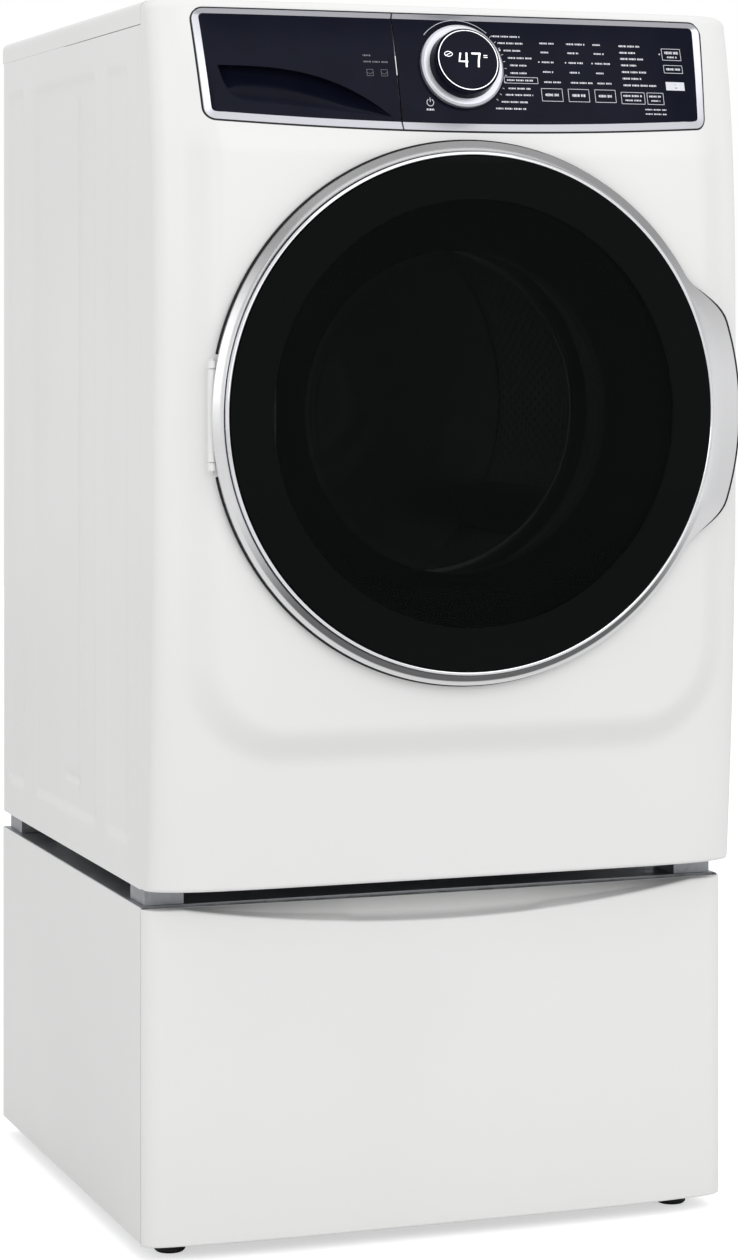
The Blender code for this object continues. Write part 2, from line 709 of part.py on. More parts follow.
def door_outer_ring():
    """The silver ring round the glass, swelling on the right into the handle."""
    profile = [(283.2, -113.0), (RING_R - 1, -107.0), (RING_R, -105.0), (RING_R - 1, -101.0),
               (268, -101.0), (268, -103.8), (283.2, -103.8)]
    ring = turned("door_outer_ring", profile, (0, 0, AXIS_Z), "Y", SILVER, None, 64)
    wing = extruded("door_wing", wing_outline(), -106.0, -98.0, "Y")
    notch = box("cut_ring_notch", (-310, HINGE_Y - 5.6, AXIS_Z - 64), (-217, -50, AXIS_Z + 64), None, CUTTERS)
    return cut(join(ring, wing), notch)


def door_chrome_ring():
    profile = [(278.4, -117.0), (280.4, -118.4), (282.7, -116.5), (282.7, -104.3), (278.4, -104.3)]
    return turned("door_chrome_ring", profile, (0, 0, AXIS_Z), "Y", CHROME, None, 64)


def dome(radius, apex, edge, steps=4):
    """Profile points of a shallow dome from the rim to the axis."""
    return [(radius * (1 - k / steps), edge + (apex - edge) * (1 - (1 - k / steps) ** 2)) for k in range(steps + 1)]


def door_outer_glass():
    """The dark outer glass, a shallow dome of even thickness."""
    front = dome(GLASS_R, GLASS_APEX_Y, -118.8)
    back = dome(GLASS_R, GLASS_APEX_Y + 3.5, -115.3)
    return turned("door_outer_glass", front + back[::-1], (0, 0, AXIS_Z), "Y", GLASS, None, 64)


def door_inner_frame():
    """The dark back of the door: a ring behind the glass, drawn in to the seat, that holds the bowl."""
    profile = [
        (176, -100.6), (BUMPER_R - 1.4, -100.6), (BUMPER_R, -99.6), (BUMPER_R - 0.6, -97.7), (286, -97.5),
        (283, -70), (262, -59.5), (176, -59.5),
    ]
    ring = turned("door_inner_frame", profile, (0, 0, AXIS_Z), "Y", BLACK)
    notch = box("cut_hinge_notch", (-310, -101, AXIS_Z - 66), (-217, -50, AXIS_Z + 66), None, CUTTERS)
    wing_gap = extruded("cut_wing_gap", wing_outline(), -108.0, -97.6, "Y", None, CUTTERS)
    return cut(ring, notch, wing_gap)


def door_glass_bowl():
    """The deep clear bowl that reaches through the gasket into the drum's mouth."""
    outside = [(175.4, -98), (175.4, -62), (168, -58), (158, -20), (140, 25), (105, 52), (0, 62)]
    inside = [(0, 56), (102, 46.5), (135, 21), (152, -22), (163, -60), (165, -98)]
    return turned("door_glass_bowl", outside + inside, (0, 0, AXIS_Z), "Y", GLASS)


def door_hinge_arm():
    """The moving knuckle between the fixed ears, with the leaf that is bolted to the back of the door."""
    leaf = box("door_hinge_arm", (HINGE_X, HINGE_Y - 3.4, AXIS_Z - 49), (-222, HINGE_Y + 1.6, AXIS_Z + 49), STEEL)
    return cut(join(leaf, knuckle("moving_knuckle", -49, 49)), hinge_bore("moving_bore"))


def door_latch_hook():
    """The hook on the right of the door that enters the lock."""
    shank = box("door_latch_hook", (238, -59.1, AXIS_Z - 5), (246, -34, AXIS_Z + 5), STEEL)
    barb = box("latch_barb", (236, -40, AXIS_Z - 5), (250, -33, AXIS_Z + 5))
    return join(shank, barb)


# ---------------------------------------------------------------- tub, drum and drive


def thickened(path, width):
    """A closed outline of even width round an open path of (radius, y) points."""
    path = np.array(path, float)
    step = np.gradient(path, axis=0)
    normal = np.stack([-step[:, 1], step[:, 0]], axis=1)
    normal /= np.linalg.norm(normal, axis=1)[:, None]
    ahead, behind = path + normal * width / 2, path - normal * width / 2
    return [tuple(p) for p in ahead.tolist()] + [tuple(p) for p in behind[::-1].tolist()]


def door_gasket():
    """The folded rubber boot from the opening in the front to the mouth of the tub."""
    path = [(178, -38), (187, -49), (200, -54), (203, -44), (213, -32), (211, -20), (192, -9), (205, 5), (205.8, 26)]
    return turned("door_gasket", thickened(path, 3.0), (0, 0, AXIS_Z), "Y", RUBBER, None, 36)


def inner_space(name, low, high, radius=TUB_R + 0.5):
    return turned("cut_" + name, [(0, low), (radius, low), (radius, high), (0, high)], (0, 0, AXIS_Z), "Y", None, CUTTERS)


def tub_front():
    """The front half of the outer tub, with ears for the springs and dampers."""
    outer = TUB_R + TUB_WALL
    profile = [(196, 12), (202, 12), (202, TUB_FRONT_Y), (outer, TUB_FRONT_Y), (outer, 258), (294, 258),
               (294, TUB_SPLIT_Y), (TUB_R, TUB_SPLIT_Y), (TUB_R, 36), (196, 36)]
    body = turned("tub_front", profile, (0, 0, AXIS_Z), "Y", TUB_PLASTIC)
    ears = []
    for side in (-1, 1):
        low, high = sorted((side * 214, side * 330))
        ears.append(box("spring_ear_%d" % side, (low, 243, 1092), (high, 267, 1104)))
        low, high = sorted((side * 186, side * 214))
        ears.append(box("damper_ear_%d" % side, (low, 243, 684), (high, 267, 726)))
    cleared = [cut(ear, inner_space(ear.name, 200, 300, TUB_R + 3)) for ear in ears]
    holes = [
        turned("cut_heater_%d" % k, [(0, 20), (4.6, 20), (4.6, 50), (0, 50)], (x, 0, AXIS_Z - 271.6), "Y", None, CUTTERS, 12)
        for k, x in enumerate((-38, 38))
    ]
    return cut(join(body, *cleared), *holes)


def tub_rear():
    """The rear half of the outer tub, with its hub and the cradle that the motor hangs from."""
    outer = TUB_R + TUB_WALL
    profile = [(TUB_R, TUB_SPLIT_Y + FIT), (294, TUB_SPLIT_Y + FIT), (294, 278.4), (outer, 278.4), (outer, TUB_REAR_Y),
               (46, TUB_REAR_Y), (46, 572), (30, 572), (30, 512), (TUB_R, 512)]
    body = turned("tub_rear", profile, (0, 0, AXIS_Z), "Y", TUB_PLASTIC)
    cradle = box("motor_cradle", (-34, 420, MOTOR_Z + MOTOR_R + FIT), (34, 508, 650))
    return join(body, cut(cradle, inner_space("cradle", 400, 530, TUB_R + 3)))


def counterweight():
    """The arched cast iron block on the upper face of the tub."""
    block = turned("counterweight", [(222, 2), (283, 2), (283, 29.4), (222, 29.4)], (0, 0, AXIS_Z), "Y", CAST_IRON)
    return cut(block, box("cut_counterweight", (-300, -10, 600), (300, 40, AXIS_Z + 40), None, CUTTERS))


def main_bearing():
    profile = [(SHAFT_R + 0.4, 516), (29.6, 516), (29.6, 570), (SHAFT_R + 0.4, 570)]
    return turned("main_bearing", profile, (0, 0, AXIS_Z), "Y", STEEL, None, 24)


def heater():
    """A bent sheathed rod along the bottom of the tub, with its flange outside the front wall."""
    z = AXIS_Z - 271.6
    run = [(-38, 24, z), (-38, 225, z), (-30, 241, z - 1), (-14, 250, z - 2.2), (0, 253, z - 2.4),
           (14, 250, z - 2.2), (30, 241, z - 1), (38, 225, z), (38, 24, z)]
    rod = solid_tube("heater", run, 2.4, STEEL)
    flange = box("heater_flange", (-56, 22, z - 14), (56, TUB_FRONT_Y - FIT, z + 14))
    return join(rod, flange)


def drive_motor():
    profile = [(0, 400), (40, 400), (MOTOR_R, 410), (MOTOR_R, 545), (38, 560), (10, 560), (10, 500), (0, 500)]
    return turned("drive_motor", profile, (0, 0, MOTOR_Z), "Y", GREY, None, 32)


def drive_belt():
    """The ribbed belt round both pulleys: two arcs and two straight runs, with the pulleys' outlines cut out."""
    gap, thick = 0.5, 4.0
    span = AXIS_Z - MOTOR_Z
    lean = math.degrees(math.asin((DRUM_PULLEY_R - MOTOR_PULLEY_R) / span))

    def loop(extra):
        upper = arc(0, AXIS_Z, DRUM_PULLEY_R + extra, -lean, 180 + lean, 30)
        lower = arc(0, MOTOR_Z, MOTOR_PULLEY_R + extra, 180 + lean, 360 - lean, 10)
        return upper + lower

    belt = extruded("drive_belt", loop(gap + thick), PULLEY_Y - 8, PULLEY_Y + 8, "Y", BLACK)
    return cut(belt, extruded("cut_belt", loop(gap), PULLEY_Y - 20, PULLEY_Y + 20, "Y", None, CUTTERS))


def suspension_spring(name, side):
    """A close coil between the cabinet's shelf and the tub's ear."""
    low, high, coils, per_turn, radius, wire = 1108.0, 1293.0, 7, 8, 10.0, 2.2
    steps = coils * per_turn
    points = [
        (side * SPRING_X + radius * math.cos(2 * math.pi * k / per_turn),
         HANGING_Y + radius * math.sin(2 * math.pi * k / per_turn), low + (high - low) * k / steps)
        for k in range(steps + 1)
    ]
    return tube(name, points, wire, STEEL, 1)


def damper_rod(name, side):
    profile = [(0, 440), (6.5, 440), (6.5, 672), (11, 672), (11, 683.6), (0, 683.6)]
    return turned(name, profile, (side * DAMPER_X, HANGING_Y, 0), "Z", STEEL, None, 16)


def drum_shell():
    """The stainless drum: a rolled mouth, a slanted front and a straight wall."""
    mid = DRUM_R - 1.0
    path = [(182, 58), (180, 51), (186, DRUM_FRONT_Y), (232, 56), (258, 64), (mid, 78), (mid, DRUM_REAR_Y)]
    return turned("drum_shell", thickened(path, SHEET), (0, 0, AXIS_Z), "Y", STEEL)


def drum_spider():
    """The drum's back plate, its three-armed casting and the shaft through the bearing."""
    plate = [(0, DRUM_REAR_Y + 0.5), (DRUM_R, DRUM_REAR_Y + 0.5), (DRUM_R, DRUM_REAR_Y + 4), (40, DRUM_REAR_Y + 4),
             (40, 508), (SHAFT_R, 508), (SHAFT_R, 604), (0, 604)]
    body = turned("drum_spider", plate, (0, 0, AXIS_Z), "Y", STEEL)
    arms = []
    for k in range(3):
        angle = math.radians(90 + 120 * k)
        arm = box("spider_arm_%d" % k, (20, 480, AXIS_Z - 14), (255, 500, AXIS_Z + 14))
        turn = Matrix.Rotation(-angle, 4, "Y")
        centre = place(0, 0, AXIS_Z)
        arm.matrix_world = Matrix.Translation(centre) @ turn @ Matrix.Translation(-centre) @ Matrix.Translation(arm.location)
        arms.append(arm)
    return join(body, *arms)


def drum_baffle(name, degrees):
    """A hollow vane, wide at its root and round at its crest, along the inside of the drum."""
    root, crest = DRUM_R - 4, DRUM_R - 62
    half = math.degrees(34 / root)
    outline = arc(0, 0, root, -half, half, 4)
    outline = [outline[-1]] + [(crest + 26, 16), (crest + 8, 11), (crest, 4), (crest, -4), (crest + 8, -11), (crest + 26, -16)] + outline[:-1]
    a = math.radians(degrees)
    spun = [(x * math.cos(a) - z * math.sin(a), AXIS_Z + x * math.sin(a) + z * math.cos(a)) for x, z in outline]
    return extruded(name, spun, 96, DRUM_REAR_Y - 6, "Y", GREY)


def drum_pulley():
    """The large belt wheel on the back of the shaft, with five windows."""
    profile = [(SHAFT_R + FIT, PULLEY_Y - 9), (28, PULLEY_Y - 9), (28, PULLEY_Y - 3), (DRUM_PULLEY_R - 10, PULLEY_Y - 3),
               (DRUM_PULLEY_R - 10, PULLEY_Y - 10), (DRUM_PULLEY_R, PULLEY_Y - 10), (DRUM_PULLEY_R, PULLEY_Y + 10),
               (DRUM_PULLEY_R - 10, PULLEY_Y + 10), (DRUM_PULLEY_R - 10, PULLEY_Y + 3), (SHAFT_R + FIT, PULLEY_Y + 3)]
    wheel = turned("drum_pulley", profile, (0, 0, AXIS_Z), "Y", GREY, None, 36)
    windows = []
    for k in range(5):
        a = math.radians(90 + 72 * k)
        windows.append(turned("cut_pulley_window_%d" % k, [(0, 560), (32, 560), (32, 620), (0, 620)],
                              (84 * math.cos(a), 0, AXIS_Z + 84 * math.sin(a)), "Y", None, CUTTERS, 12))
    return cut(wheel, *windows)


def motor_pulley():
    """The small belt wheel on the end of the motor's shaft."""
    profile = [(0, 502), (7, 502), (7, PULLEY_Y - 11), (MOTOR_PULLEY_R, PULLEY_Y - 11), (MOTOR_PULLEY_R, PULLEY_Y + 11),
               (0, PULLEY_Y + 11)]
    return turned("motor_pulley", profile, (0, 0, MOTOR_Z), "Y", STEEL, None, 24)


# ---------------------------------------------------------------- pedestal


def pedestal_shell():
    """The pedestal's sides and back, folded from one sheet."""
    outer, inner = HALF_WIDTH, HALF_WIDTH - SHEET
    outline = [(-outer, 0), (-outer, REAR_Y), (outer, REAR_Y), (outer, 0), (inner, 0), (inner, REAR_Y - SHEET),
               (-inner, REAR_Y - SHEET), (-inner, 0)]
    return extruded("pedestal_shell", outline, PEDESTAL_BOTTOM_Z, PEDESTAL_TOP_Z, "Z", WHITE)


def pedestal_top():
    """The galvanised top pan that the washer is fastened on."""
    inside = HALF_WIDTH - SHEET - FIT
    pan = box("pedestal_top", (-inside, 6, PEDESTAL_TOP_Z - 2.5), (inside, REAR_Y - 2.8, PEDESTAL_TOP_Z + 0.4), ZINC)
    apron = box("pan_apron", (-inside, 6, 352), (inside, 8.5, PEDESTAL_TOP_Z))
    apron_rear = box("pan_apron_rear", (-inside, 616, 352), (inside, 618.5, PEDESTAL_TOP_Z))
    return join(pan, apron, apron_rear)


def pedestal_base():
    """The floor frame that ties the sides and takes the feet."""
    inside = HALF_WIDTH - SHEET - FIT
    plate = box("pedestal_base", (-inside, 6, PEDESTAL_BOTTOM_Z + 1), (inside, REAR_Y - 2.8, PEDESTAL_BOTTOM_Z + 4), ZINC)
    hole = box("cut_pedestal_base", (-240, 110, 0), (240, 520, 40), None, CUTTERS)
    bores = [
        turned("cut_foot_bore_%d" % k, [(0, 0), (6.4, 0), (6.4, 60), (0, 60)], (x, y, 0), "Z", None, CUTTERS, 16)
        for k, (x, y) in enumerate(FOOT_PLACES)
    ]
    return cut(plate, hole, *bores)


def slide_rail(name, side):
    """The fixed member of a drawer slide, on the inside of the pedestal."""
    low, high = sorted((side * (HALF_WIDTH - SHEET - FIT), side * 328))
    rail = box(name, (low, 20, 176), (high, 560, 222), ZINC)
    low, high = sorted((side * 300, side * 336.5))
    return cut(rail, box("cut_" + name, (low, 10, 180), (high, 570, 218), None, CUTTERS))


def drawer_y(x):
    """The drawer front's plan: nearly flat, turning back near its ends."""
    return -28 + 13 * abs(x / HALF_WIDTH) ** 4


def drawer_front():
    """The bowed drawer front, its top edge scooped in a long arc and hollowed for the fingers."""
    columns = [-343, -341.5, -337, -325, -290, -230, -150, -75, 0, 75, 150, 230, 290, 325, 337, 341.5, 343]
    plan = [(x, drawer_y(x) + (5 * max(0, (abs(x) - 325) / 18) ** 2)) for x in columns]
    body = extruded("drawer_front", plan + [(343, -1.5), (-343, -1.5)], DRAWER_BOTTOM_Z, DRAWER_TOP_Z, "Z", WHITE)
    inside = [(x * 340 / 343, y + 2.4) for x, y in plan[2:-2]]
    hollow = extruded("cut_drawer_back", inside + [(330, 5), (-330, 5)], DRAWER_BOTTOM_Z + 2.4, 324, "Z", None, CUTTERS)
    scoop = [(-300, DRAWER_TOP_Z + 40), (-300, DRAWER_TOP_Z)]
    scoop += [(x, DRAWER_TOP_Z - DRAWER_DIP * (1 - (x / 300) ** 2)) for x in (-240, -160, -80, 0, 80, 160, 240)]
    scoop += [(300, DRAWER_TOP_Z), (300, DRAWER_TOP_Z + 40)]
    dip = extruded("cut_drawer_scoop", scoop, -60, -15, "Y", None, CUTTERS)
    grip = box("cut_drawer_grip", (-105, -22, 330), (105, -4, 420), None, CUTTERS)
    return cut(body, dip, grip, hollow)


def drawer_bin():
    """The steel drawer: an open box with a flange on each side that runs in its slide."""
    low, high = 40, 352
    half = DRAWER_BIN_HALF
    body = box("drawer_bin", (-half, -1.1, low), (half, 560, high), ZINC)
    hollow = box("cut_bin", (-half + SHEET, 0.9, low + SHEET), (half - SHEET, 558, high + 20), None, CUTTERS)
    runners = []
    for side in (-1, 1):
        a, b = sorted((side * (half - 1), side * 334))
        runners.append(box("runner_%d" % side, (a, 20, 184), (b, 556, 214)))
    return cut(join(body, *runners), hollow)


def levelling_foot(name, x, y):
    """A black pad on a threaded stem."""
    profile = [(0, 0), (15, 0), (17.5, 3), (12, 18), (6, 18.4), (6, 37), (0, 37)]
    return turned(name, profile, (x, y, 0), "Z", BLACK, None, 16)


# ---------------------------------------------------------------- the assembly


def carrier(name, point):
    """An empty on a joint's axis, which the pieces of a moving body are parented to."""
    made = bpy.data.objects.new(name, None)
    PARTS.objects.link(made)
    made.location = point
    return made


def carry(holder, *pieces):
    bpy.context.view_layer.update()
    for piece in pieces:
        piece.parent = holder
        piece.matrix_parent_inverse = holder.matrix_world.inverted()


def build():
    cabinet_side("cabinet_side_left", -1)
    cabinet_side("cabinet_side_right", 1)
    for make in (front_panel, top_cover, rear_panel, rear_access_cover, base_frame, hinge_bracket, hinge_pin,
                 door_lock, inlet_valve, power_inlet, drain_pump, console_fascia, display_lens, dispenser_housing,
                 pedestal_shell, pedestal_top, pedestal_base):
        make()
    panel_frame("console_trim", PANEL_SPLIT_X + 0.5, PANEL_RIGHT, False, True)
    for word, side in (("left", -1), ("right", 1)):
        damper_body("damper_body_" + word, side)
        slide_rail("slide_rail_" + word, side)
    carry(carrier("dial_axis", place(*dial_frame()[0])), cycle_dial())
    carry(carrier("dispenser_slide", place(-175, 0, 1280)), dispenser_fascia(), dispenser_tray(),
          panel_frame("dispenser_trim", PANEL_LEFT, PANEL_SPLIT_X - 0.5, True, False))
    carry(carrier("door_axis", place(HINGE_X, HINGE_Y, AXIS_Z)), door_outer_ring(), door_chrome_ring(),
          door_outer_glass(), door_inner_frame(), door_glass_bowl(), door_hinge_arm(), door_latch_hook())
    carry(carrier("tub_hanger", place(0, HANGING_Y, AXIS_Z)), door_gasket(), tub_front(), tub_rear(), counterweight(),
          main_bearing(), heater(), drive_motor(), drive_belt(), suspension_spring("suspension_spring_left", -1),
          suspension_spring("suspension_spring_right", 1), damper_rod("damper_rod_left", -1),
          damper_rod("damper_rod_right", 1))
    baffles = [drum_baffle("drum_baffle_%d" % (k + 1), 90 + 120 * k) for k in range(3)]
    carry(carrier("drum_axis", place(0, 0, AXIS_Z)), drum_shell(), drum_spider(), drum_pulley(), *baffles)
    carry(carrier("motor_axis", place(0, 0, MOTOR_Z)), motor_pulley())
    carry(carrier("drawer_slide", place(0, 0, 200)), drawer_front(), drawer_bin())
    for k, (x, y) in enumerate(FOOT_PLACES):
        carry(carrier("foot_axis_%d" % (k + 1), place(x, y, 0)), levelling_foot("levelling_foot_%d" % (k + 1), x, y))
    for piece in PARTS.objects:
        shade_round(piece)


build()
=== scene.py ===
"""A front load washing machine on a storage pedestal: its fine surfaces, its materials and its stage.

Lengths are millimetres: x to the right, y back from the front seam, z up from the floor. place() turns them
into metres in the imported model's own frame. Every new surface is a grid of points worked out by a formula.
"""

import math

import bmesh
import bpy
import numpy as np
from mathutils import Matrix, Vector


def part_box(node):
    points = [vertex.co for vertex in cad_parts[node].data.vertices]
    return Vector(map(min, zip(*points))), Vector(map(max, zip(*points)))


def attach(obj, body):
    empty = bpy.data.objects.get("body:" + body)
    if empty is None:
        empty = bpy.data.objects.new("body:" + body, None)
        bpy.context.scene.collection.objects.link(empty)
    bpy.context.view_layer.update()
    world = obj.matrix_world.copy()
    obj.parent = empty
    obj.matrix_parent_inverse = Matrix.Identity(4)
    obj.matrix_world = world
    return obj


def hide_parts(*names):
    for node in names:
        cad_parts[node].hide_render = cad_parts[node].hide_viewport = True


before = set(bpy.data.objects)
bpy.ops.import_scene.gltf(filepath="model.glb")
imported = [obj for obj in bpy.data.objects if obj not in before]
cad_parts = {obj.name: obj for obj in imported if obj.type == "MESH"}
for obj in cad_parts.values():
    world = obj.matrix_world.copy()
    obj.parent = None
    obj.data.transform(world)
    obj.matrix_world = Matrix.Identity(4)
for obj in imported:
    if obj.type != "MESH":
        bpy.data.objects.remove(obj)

bl_info = {
    "name": "Front load washing machine",
    "version": (1, 0, 0),
    "blender": (4, 5, 0),
    "location": "View3D > Sidebar > Washer",
    "description": "Finishes a packed washing machine and its pedestal",
    "category": "Object",
}

MM = 0.001
# The sides and the lid start this far behind the seam.
FIT = 0.4
# The frame's own origin, measured back from the seam.
DEPTH_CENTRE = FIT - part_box("top_cover")[0].y / MM


def span(node):
    """A CAD node's lowest and highest corners, in millimetres from the front seam."""
    low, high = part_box(node)
    shift = np.array((0.0, DEPTH_CENTRE, 0.0))
    return np.array(low) / MM + shift, np.array(high) / MM + shift


def middle(node):
    """The centre of a CAD node's box, in the same millimetres."""
    low, high = span(node)
    return (low + high) / 2


SHEET = 1.2
GLASS_RISE = 7.2

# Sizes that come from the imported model.
HALF_WIDTH = span("cabinet_side_right")[1][0]
WASHER_LOW_Z = span("cabinet_side_right")[0][2]
SEAM_Z = span("top_cover")[0][2]
TOP_Z = span("top_cover")[1][2]
SIDE_REAR_Y = span("cabinet_side_right")[1][1]
COVER_REAR_Y = span("top_cover")[1][1]
AXIS_Z = middle("door_outer_glass")[2]
GLASS_R = span("door_outer_glass")[1][0]
GLASS_EDGE_Y = span("door_outer_glass")[0][1] + GLASS_RISE
BUMPER_R = (span("door_inner_frame")[1][2] - span("door_inner_frame")[0][2]) / 2
DRUM_R = span("drum_shell")[1][0] - SHEET / 2
DRUM_REAR_Y = span("drum_shell")[1][1]
DIAL_X = middle("cycle_dial")[0]
DIAL_R = span("cycle_dial")[1][0] - DIAL_X
DRAWER_LOW_Z, DRAWER_HIGH_Z = span("drawer_front")[0][2], span("drawer_front")[1][2]

# The front's bow and the raised pad round the door.
BOW_Y = -44.7
BOW_Z = 880.0
PAD_HALF = 202.0
PAD_LOW_Z = 655.0
PAD_CORNER = 120.0
PAD_SLOPE = 45.0

# The front's corners, its seat for the door, and the door's ring, handle and printed border.
TOP_CORNER = 12.0
TOP_ROLL = 15.0
SEAT_R = 289.5
SEAT_Y = -54.0
OPENING_R = 205.0
RING_R = 294.6
RING_INNER_R = 283.2
BORDER_R = 231.0
FLANGE_R = 285.0
WING_REACH = 26.6
WING_HALF_ANGLE = 31.0

# The control panel's outline.
PANEL_HALF = 299.0
PANEL_SPLIT_X = -72.0
SPLIT_GAP = 0.9
PANEL_TOP_Z = 1349.3
PANEL_LOW_Z = 1220.4
PANEL_END_RISE = 9.6
PANEL_CORNER = 13.0
PANEL_LEAN = 6.0
TRIM_WIDTH = 8.4
FACE_DEPTH = 1.2
GRIP_TIP_X = -277.5
DIAL_Z = 1291.5
LENS_R = 35.2
LENS_FACE = 21.8


# ---------------------------------------------------------------- numbers and grids


def place(points):
    """Millimetres from the front seam as metres in the model's frame."""
    return (np.asarray(points, float) - (0.0, DEPTH_CENTRE, 0.0)) * MM


def smoothstep(t):
    """0 below 0, 1 above 1 and a smooth cubic rise between."""
    t = np.clip(t, 0.0, 1.0)
    return t * t * (3 - 2 * t)


def plateau(t, low, high, slope):
    """1 between low and high and 0 outside, with smooth slopes centred on both ends."""
    return smoothstep((t - low) / slope + 0.5) * (1 - smoothstep((t - high) / slope + 0.5))


def stacked(x, y, z):
    """Three coordinates of any matching shapes as one grid of points."""
    return np.stack(np.broadcast_arrays(x, y, z), axis=-1).astype(float)


def quads(index):
    """The four corners of every cell of a grid of point numbers."""
    return np.stack([index[:-1, :-1], index[:-1, 1:], index[1:, 1:], index[1:, :-1]], -1).reshape(-1, 4)


def sheet(points, around=False, along=False):
    """A grid of points as (points, faces), joined up across its last column or row where asked."""
    rows, columns = points.shape[:2]
    index = np.arange(rows * columns).reshape(rows, columns)
    if around:
        index = np.concatenate([index, index[:, :1]], axis=1)
    if along:
        index = np.concatenate([index, index[:1]], axis=0)
    return points.reshape(-1, 3), quads(index)


def walled(front, back):
    """Two grids of the same shape as the two walls of one closed body, with a rim round their edges."""
    rows, columns = front.shape[:2]
    index = np.arange(rows * columns).reshape(rows, columns)
    count = rows * columns
    edge = np.concatenate([index[0, :], index[1:, -1], index[-1, -2::-1], index[-2:0:-1, 0]])
    after = np.roll(edge, -1)
    rim = np.stack([edge, after, after + count, edge + count], axis=-1)
    faces = np.concatenate([quads(index), quads(index)[:, ::-1] + count, rim])
    return np.concatenate([front.reshape(-1, 3), back.reshape(-1, 3)]), faces


def capped(points):
    """Rows of closed loops as one body: each end row is drawn in to its own centre."""
    ends = [np.repeat(row.mean(axis=0)[None], len(row), axis=0)[None] for row in (points[0], points[-1])]
    return sheet(np.concatenate([ends[0], points, ends[1]]), around=True)


def filleted(points, radius, steps, closed=True):
    """A polyline with each corner replaced by a parabolic arc that starts a tangent length from it.

    radius is one number or one for each corner. A support point just beyond each arc keeps the flats flat."""
    points = np.asarray(points, float)
    radius = np.broadcast_to(np.asarray(radius, float), len(points))[:, None]
    before, after = np.roll(points, 1, axis=0) - points, np.roll(points, -1, axis=0) - points
    before_length = np.linalg.norm(before, axis=1, keepdims=True) + 1e-9
    after_length = np.linalg.norm(after, axis=1, keepdims=True) + 1e-9
    before, after = before / before_length, after / after_length
    turn = np.arccos(np.clip((before * after).sum(axis=1, keepdims=True), -1, 1))
    reach = radius / np.tan(np.maximum(turn, 0.05) / 2)
    reach = np.minimum(reach, 0.42 * np.minimum(before_length, after_length))
    t = np.linspace(0, 1, steps)[None, :, None]
    start, stop = (points + before * reach)[:, None], (points + after * reach)[:, None]
    arcs = (1 - t) ** 2 * start + 2 * t * (1 - t) * points[:, None] + t ** 2 * stop
    support = 1.12 * reach + 0.02
    supports = [(points + way * support)[:, None] for way in (before, after)]
    arcs = np.concatenate([supports[0], arcs, supports[1]], axis=1)
    if closed:
        return arcs.reshape(-1, points.shape[1])
    return np.concatenate([points[:1], arcs[1:-1].reshape(-1, points.shape[1]), points[-1:]])


def turned(profile, centre, axis="Y", segments=192, loop=True):
    """A (radius, distance along the axis) profile spun about an axis, at r cos a and r sin a across it."""
    angle = np.linspace(0, 2 * math.pi, segments, endpoint=False)[None, :]
    radius, along = np.asarray(profile, float).T[:, :, None]
    first, second = centre[0] + radius * np.cos(angle), centre[1] + radius * np.sin(angle)
    grid = stacked(first, along, second) if axis == "Y" else stacked(first, second, along)
    return sheet(grid, around=True, along=loop)


def thickened(path, width):
    """A closed outline of even width round an open (radius, y) path, offset along the path's normals."""
    path = np.asarray(path, float)
    step = np.gradient(path, axis=0)
    normal = np.stack([-step[:, 1], step[:, 0]], axis=1)
    normal /= np.linalg.norm(normal, axis=1)[:, None]
    return np.concatenate([path + normal * width / 2, (path - normal * width / 2)[::-1]])


def block(low, high, radius, axis=2):
    """A box with rounded edges along one axis and slightly drawn-in ends."""
    low, high = np.asarray(low, float), np.asarray(high, float)
    a, b = [k for k in range(3) if k != axis]
    corners = [(low[a], low[b]), (high[a], low[b]), (high[a], high[b]), (low[a], high[b])]
    outline = filleted(corners, radius, 4)
    centre = (outline.max(axis=0) + outline.min(axis=0)) / 2
    inset = min(radius, 0.4 * (high[axis] - low[axis]))
    scale = 1 - inset / np.maximum(np.ptp(outline, axis=0) / 2, inset * 2)
    rings = [(low[axis], scale), (low[axis] + inset, 1), (high[axis] - inset, 1), (high[axis], scale)]
    grid = np.zeros((4, len(outline), 3))
    for k, (level, factor) in enumerate(rings):
        grid[k][:, [a, b]] = centre + (outline - centre) * factor
        grid[k][:, axis] = level
    return capped(grid)


# ---------------------------------------------------------------- the front's shape


def edge_line(z):
    """The front's side edge in y: furthest forward at BOW_Z, it draws back by a square below and a fourth
    power above."""
    low = BOW_Y + 20.0 * ((BOW_Z - z) / 445.0) ** 2
    high = BOW_Y + 30.7 * ((z - BOW_Z) / 465.0) ** 4
    return np.where(z < BOW_Z, low, high)


def crown(x):
    """1 across the middle of the front, falling to 0 at its sides like the end of a superellipse."""
    return np.sqrt(np.clip(1 - np.abs(x / HALF_WIDTH) ** 8, 0, 1))


def pad(x, z):
    """1 inside a raised field with rounded lower corners, 0 outside: a step of the distance from it."""
    across, down = np.maximum(np.abs(x) - PAD_HALF, 0), np.maximum(PAD_LOW_Z - z, 0)
    return smoothstep((PAD_CORNER - np.hypot(across, down)) / PAD_SLOPE)


def front_y(x, z):
    """How far forward the bowed front stands at (x, z)."""
    z = np.minimum(z, TOP_Z - TOP_ROLL)
    rise = np.interp(z, (1198, 1232, 1345), (20, 11, -3))
    return edge_line(z) - crown(x) * (35.0 + rise * pad(x, z))


def on_front(xz, height):
    """A point of the front surface moved height millimetres forward."""
    x, z = xz[..., 0], xz[..., 1]
    return stacked(x, front_y(x, z) - height, z)


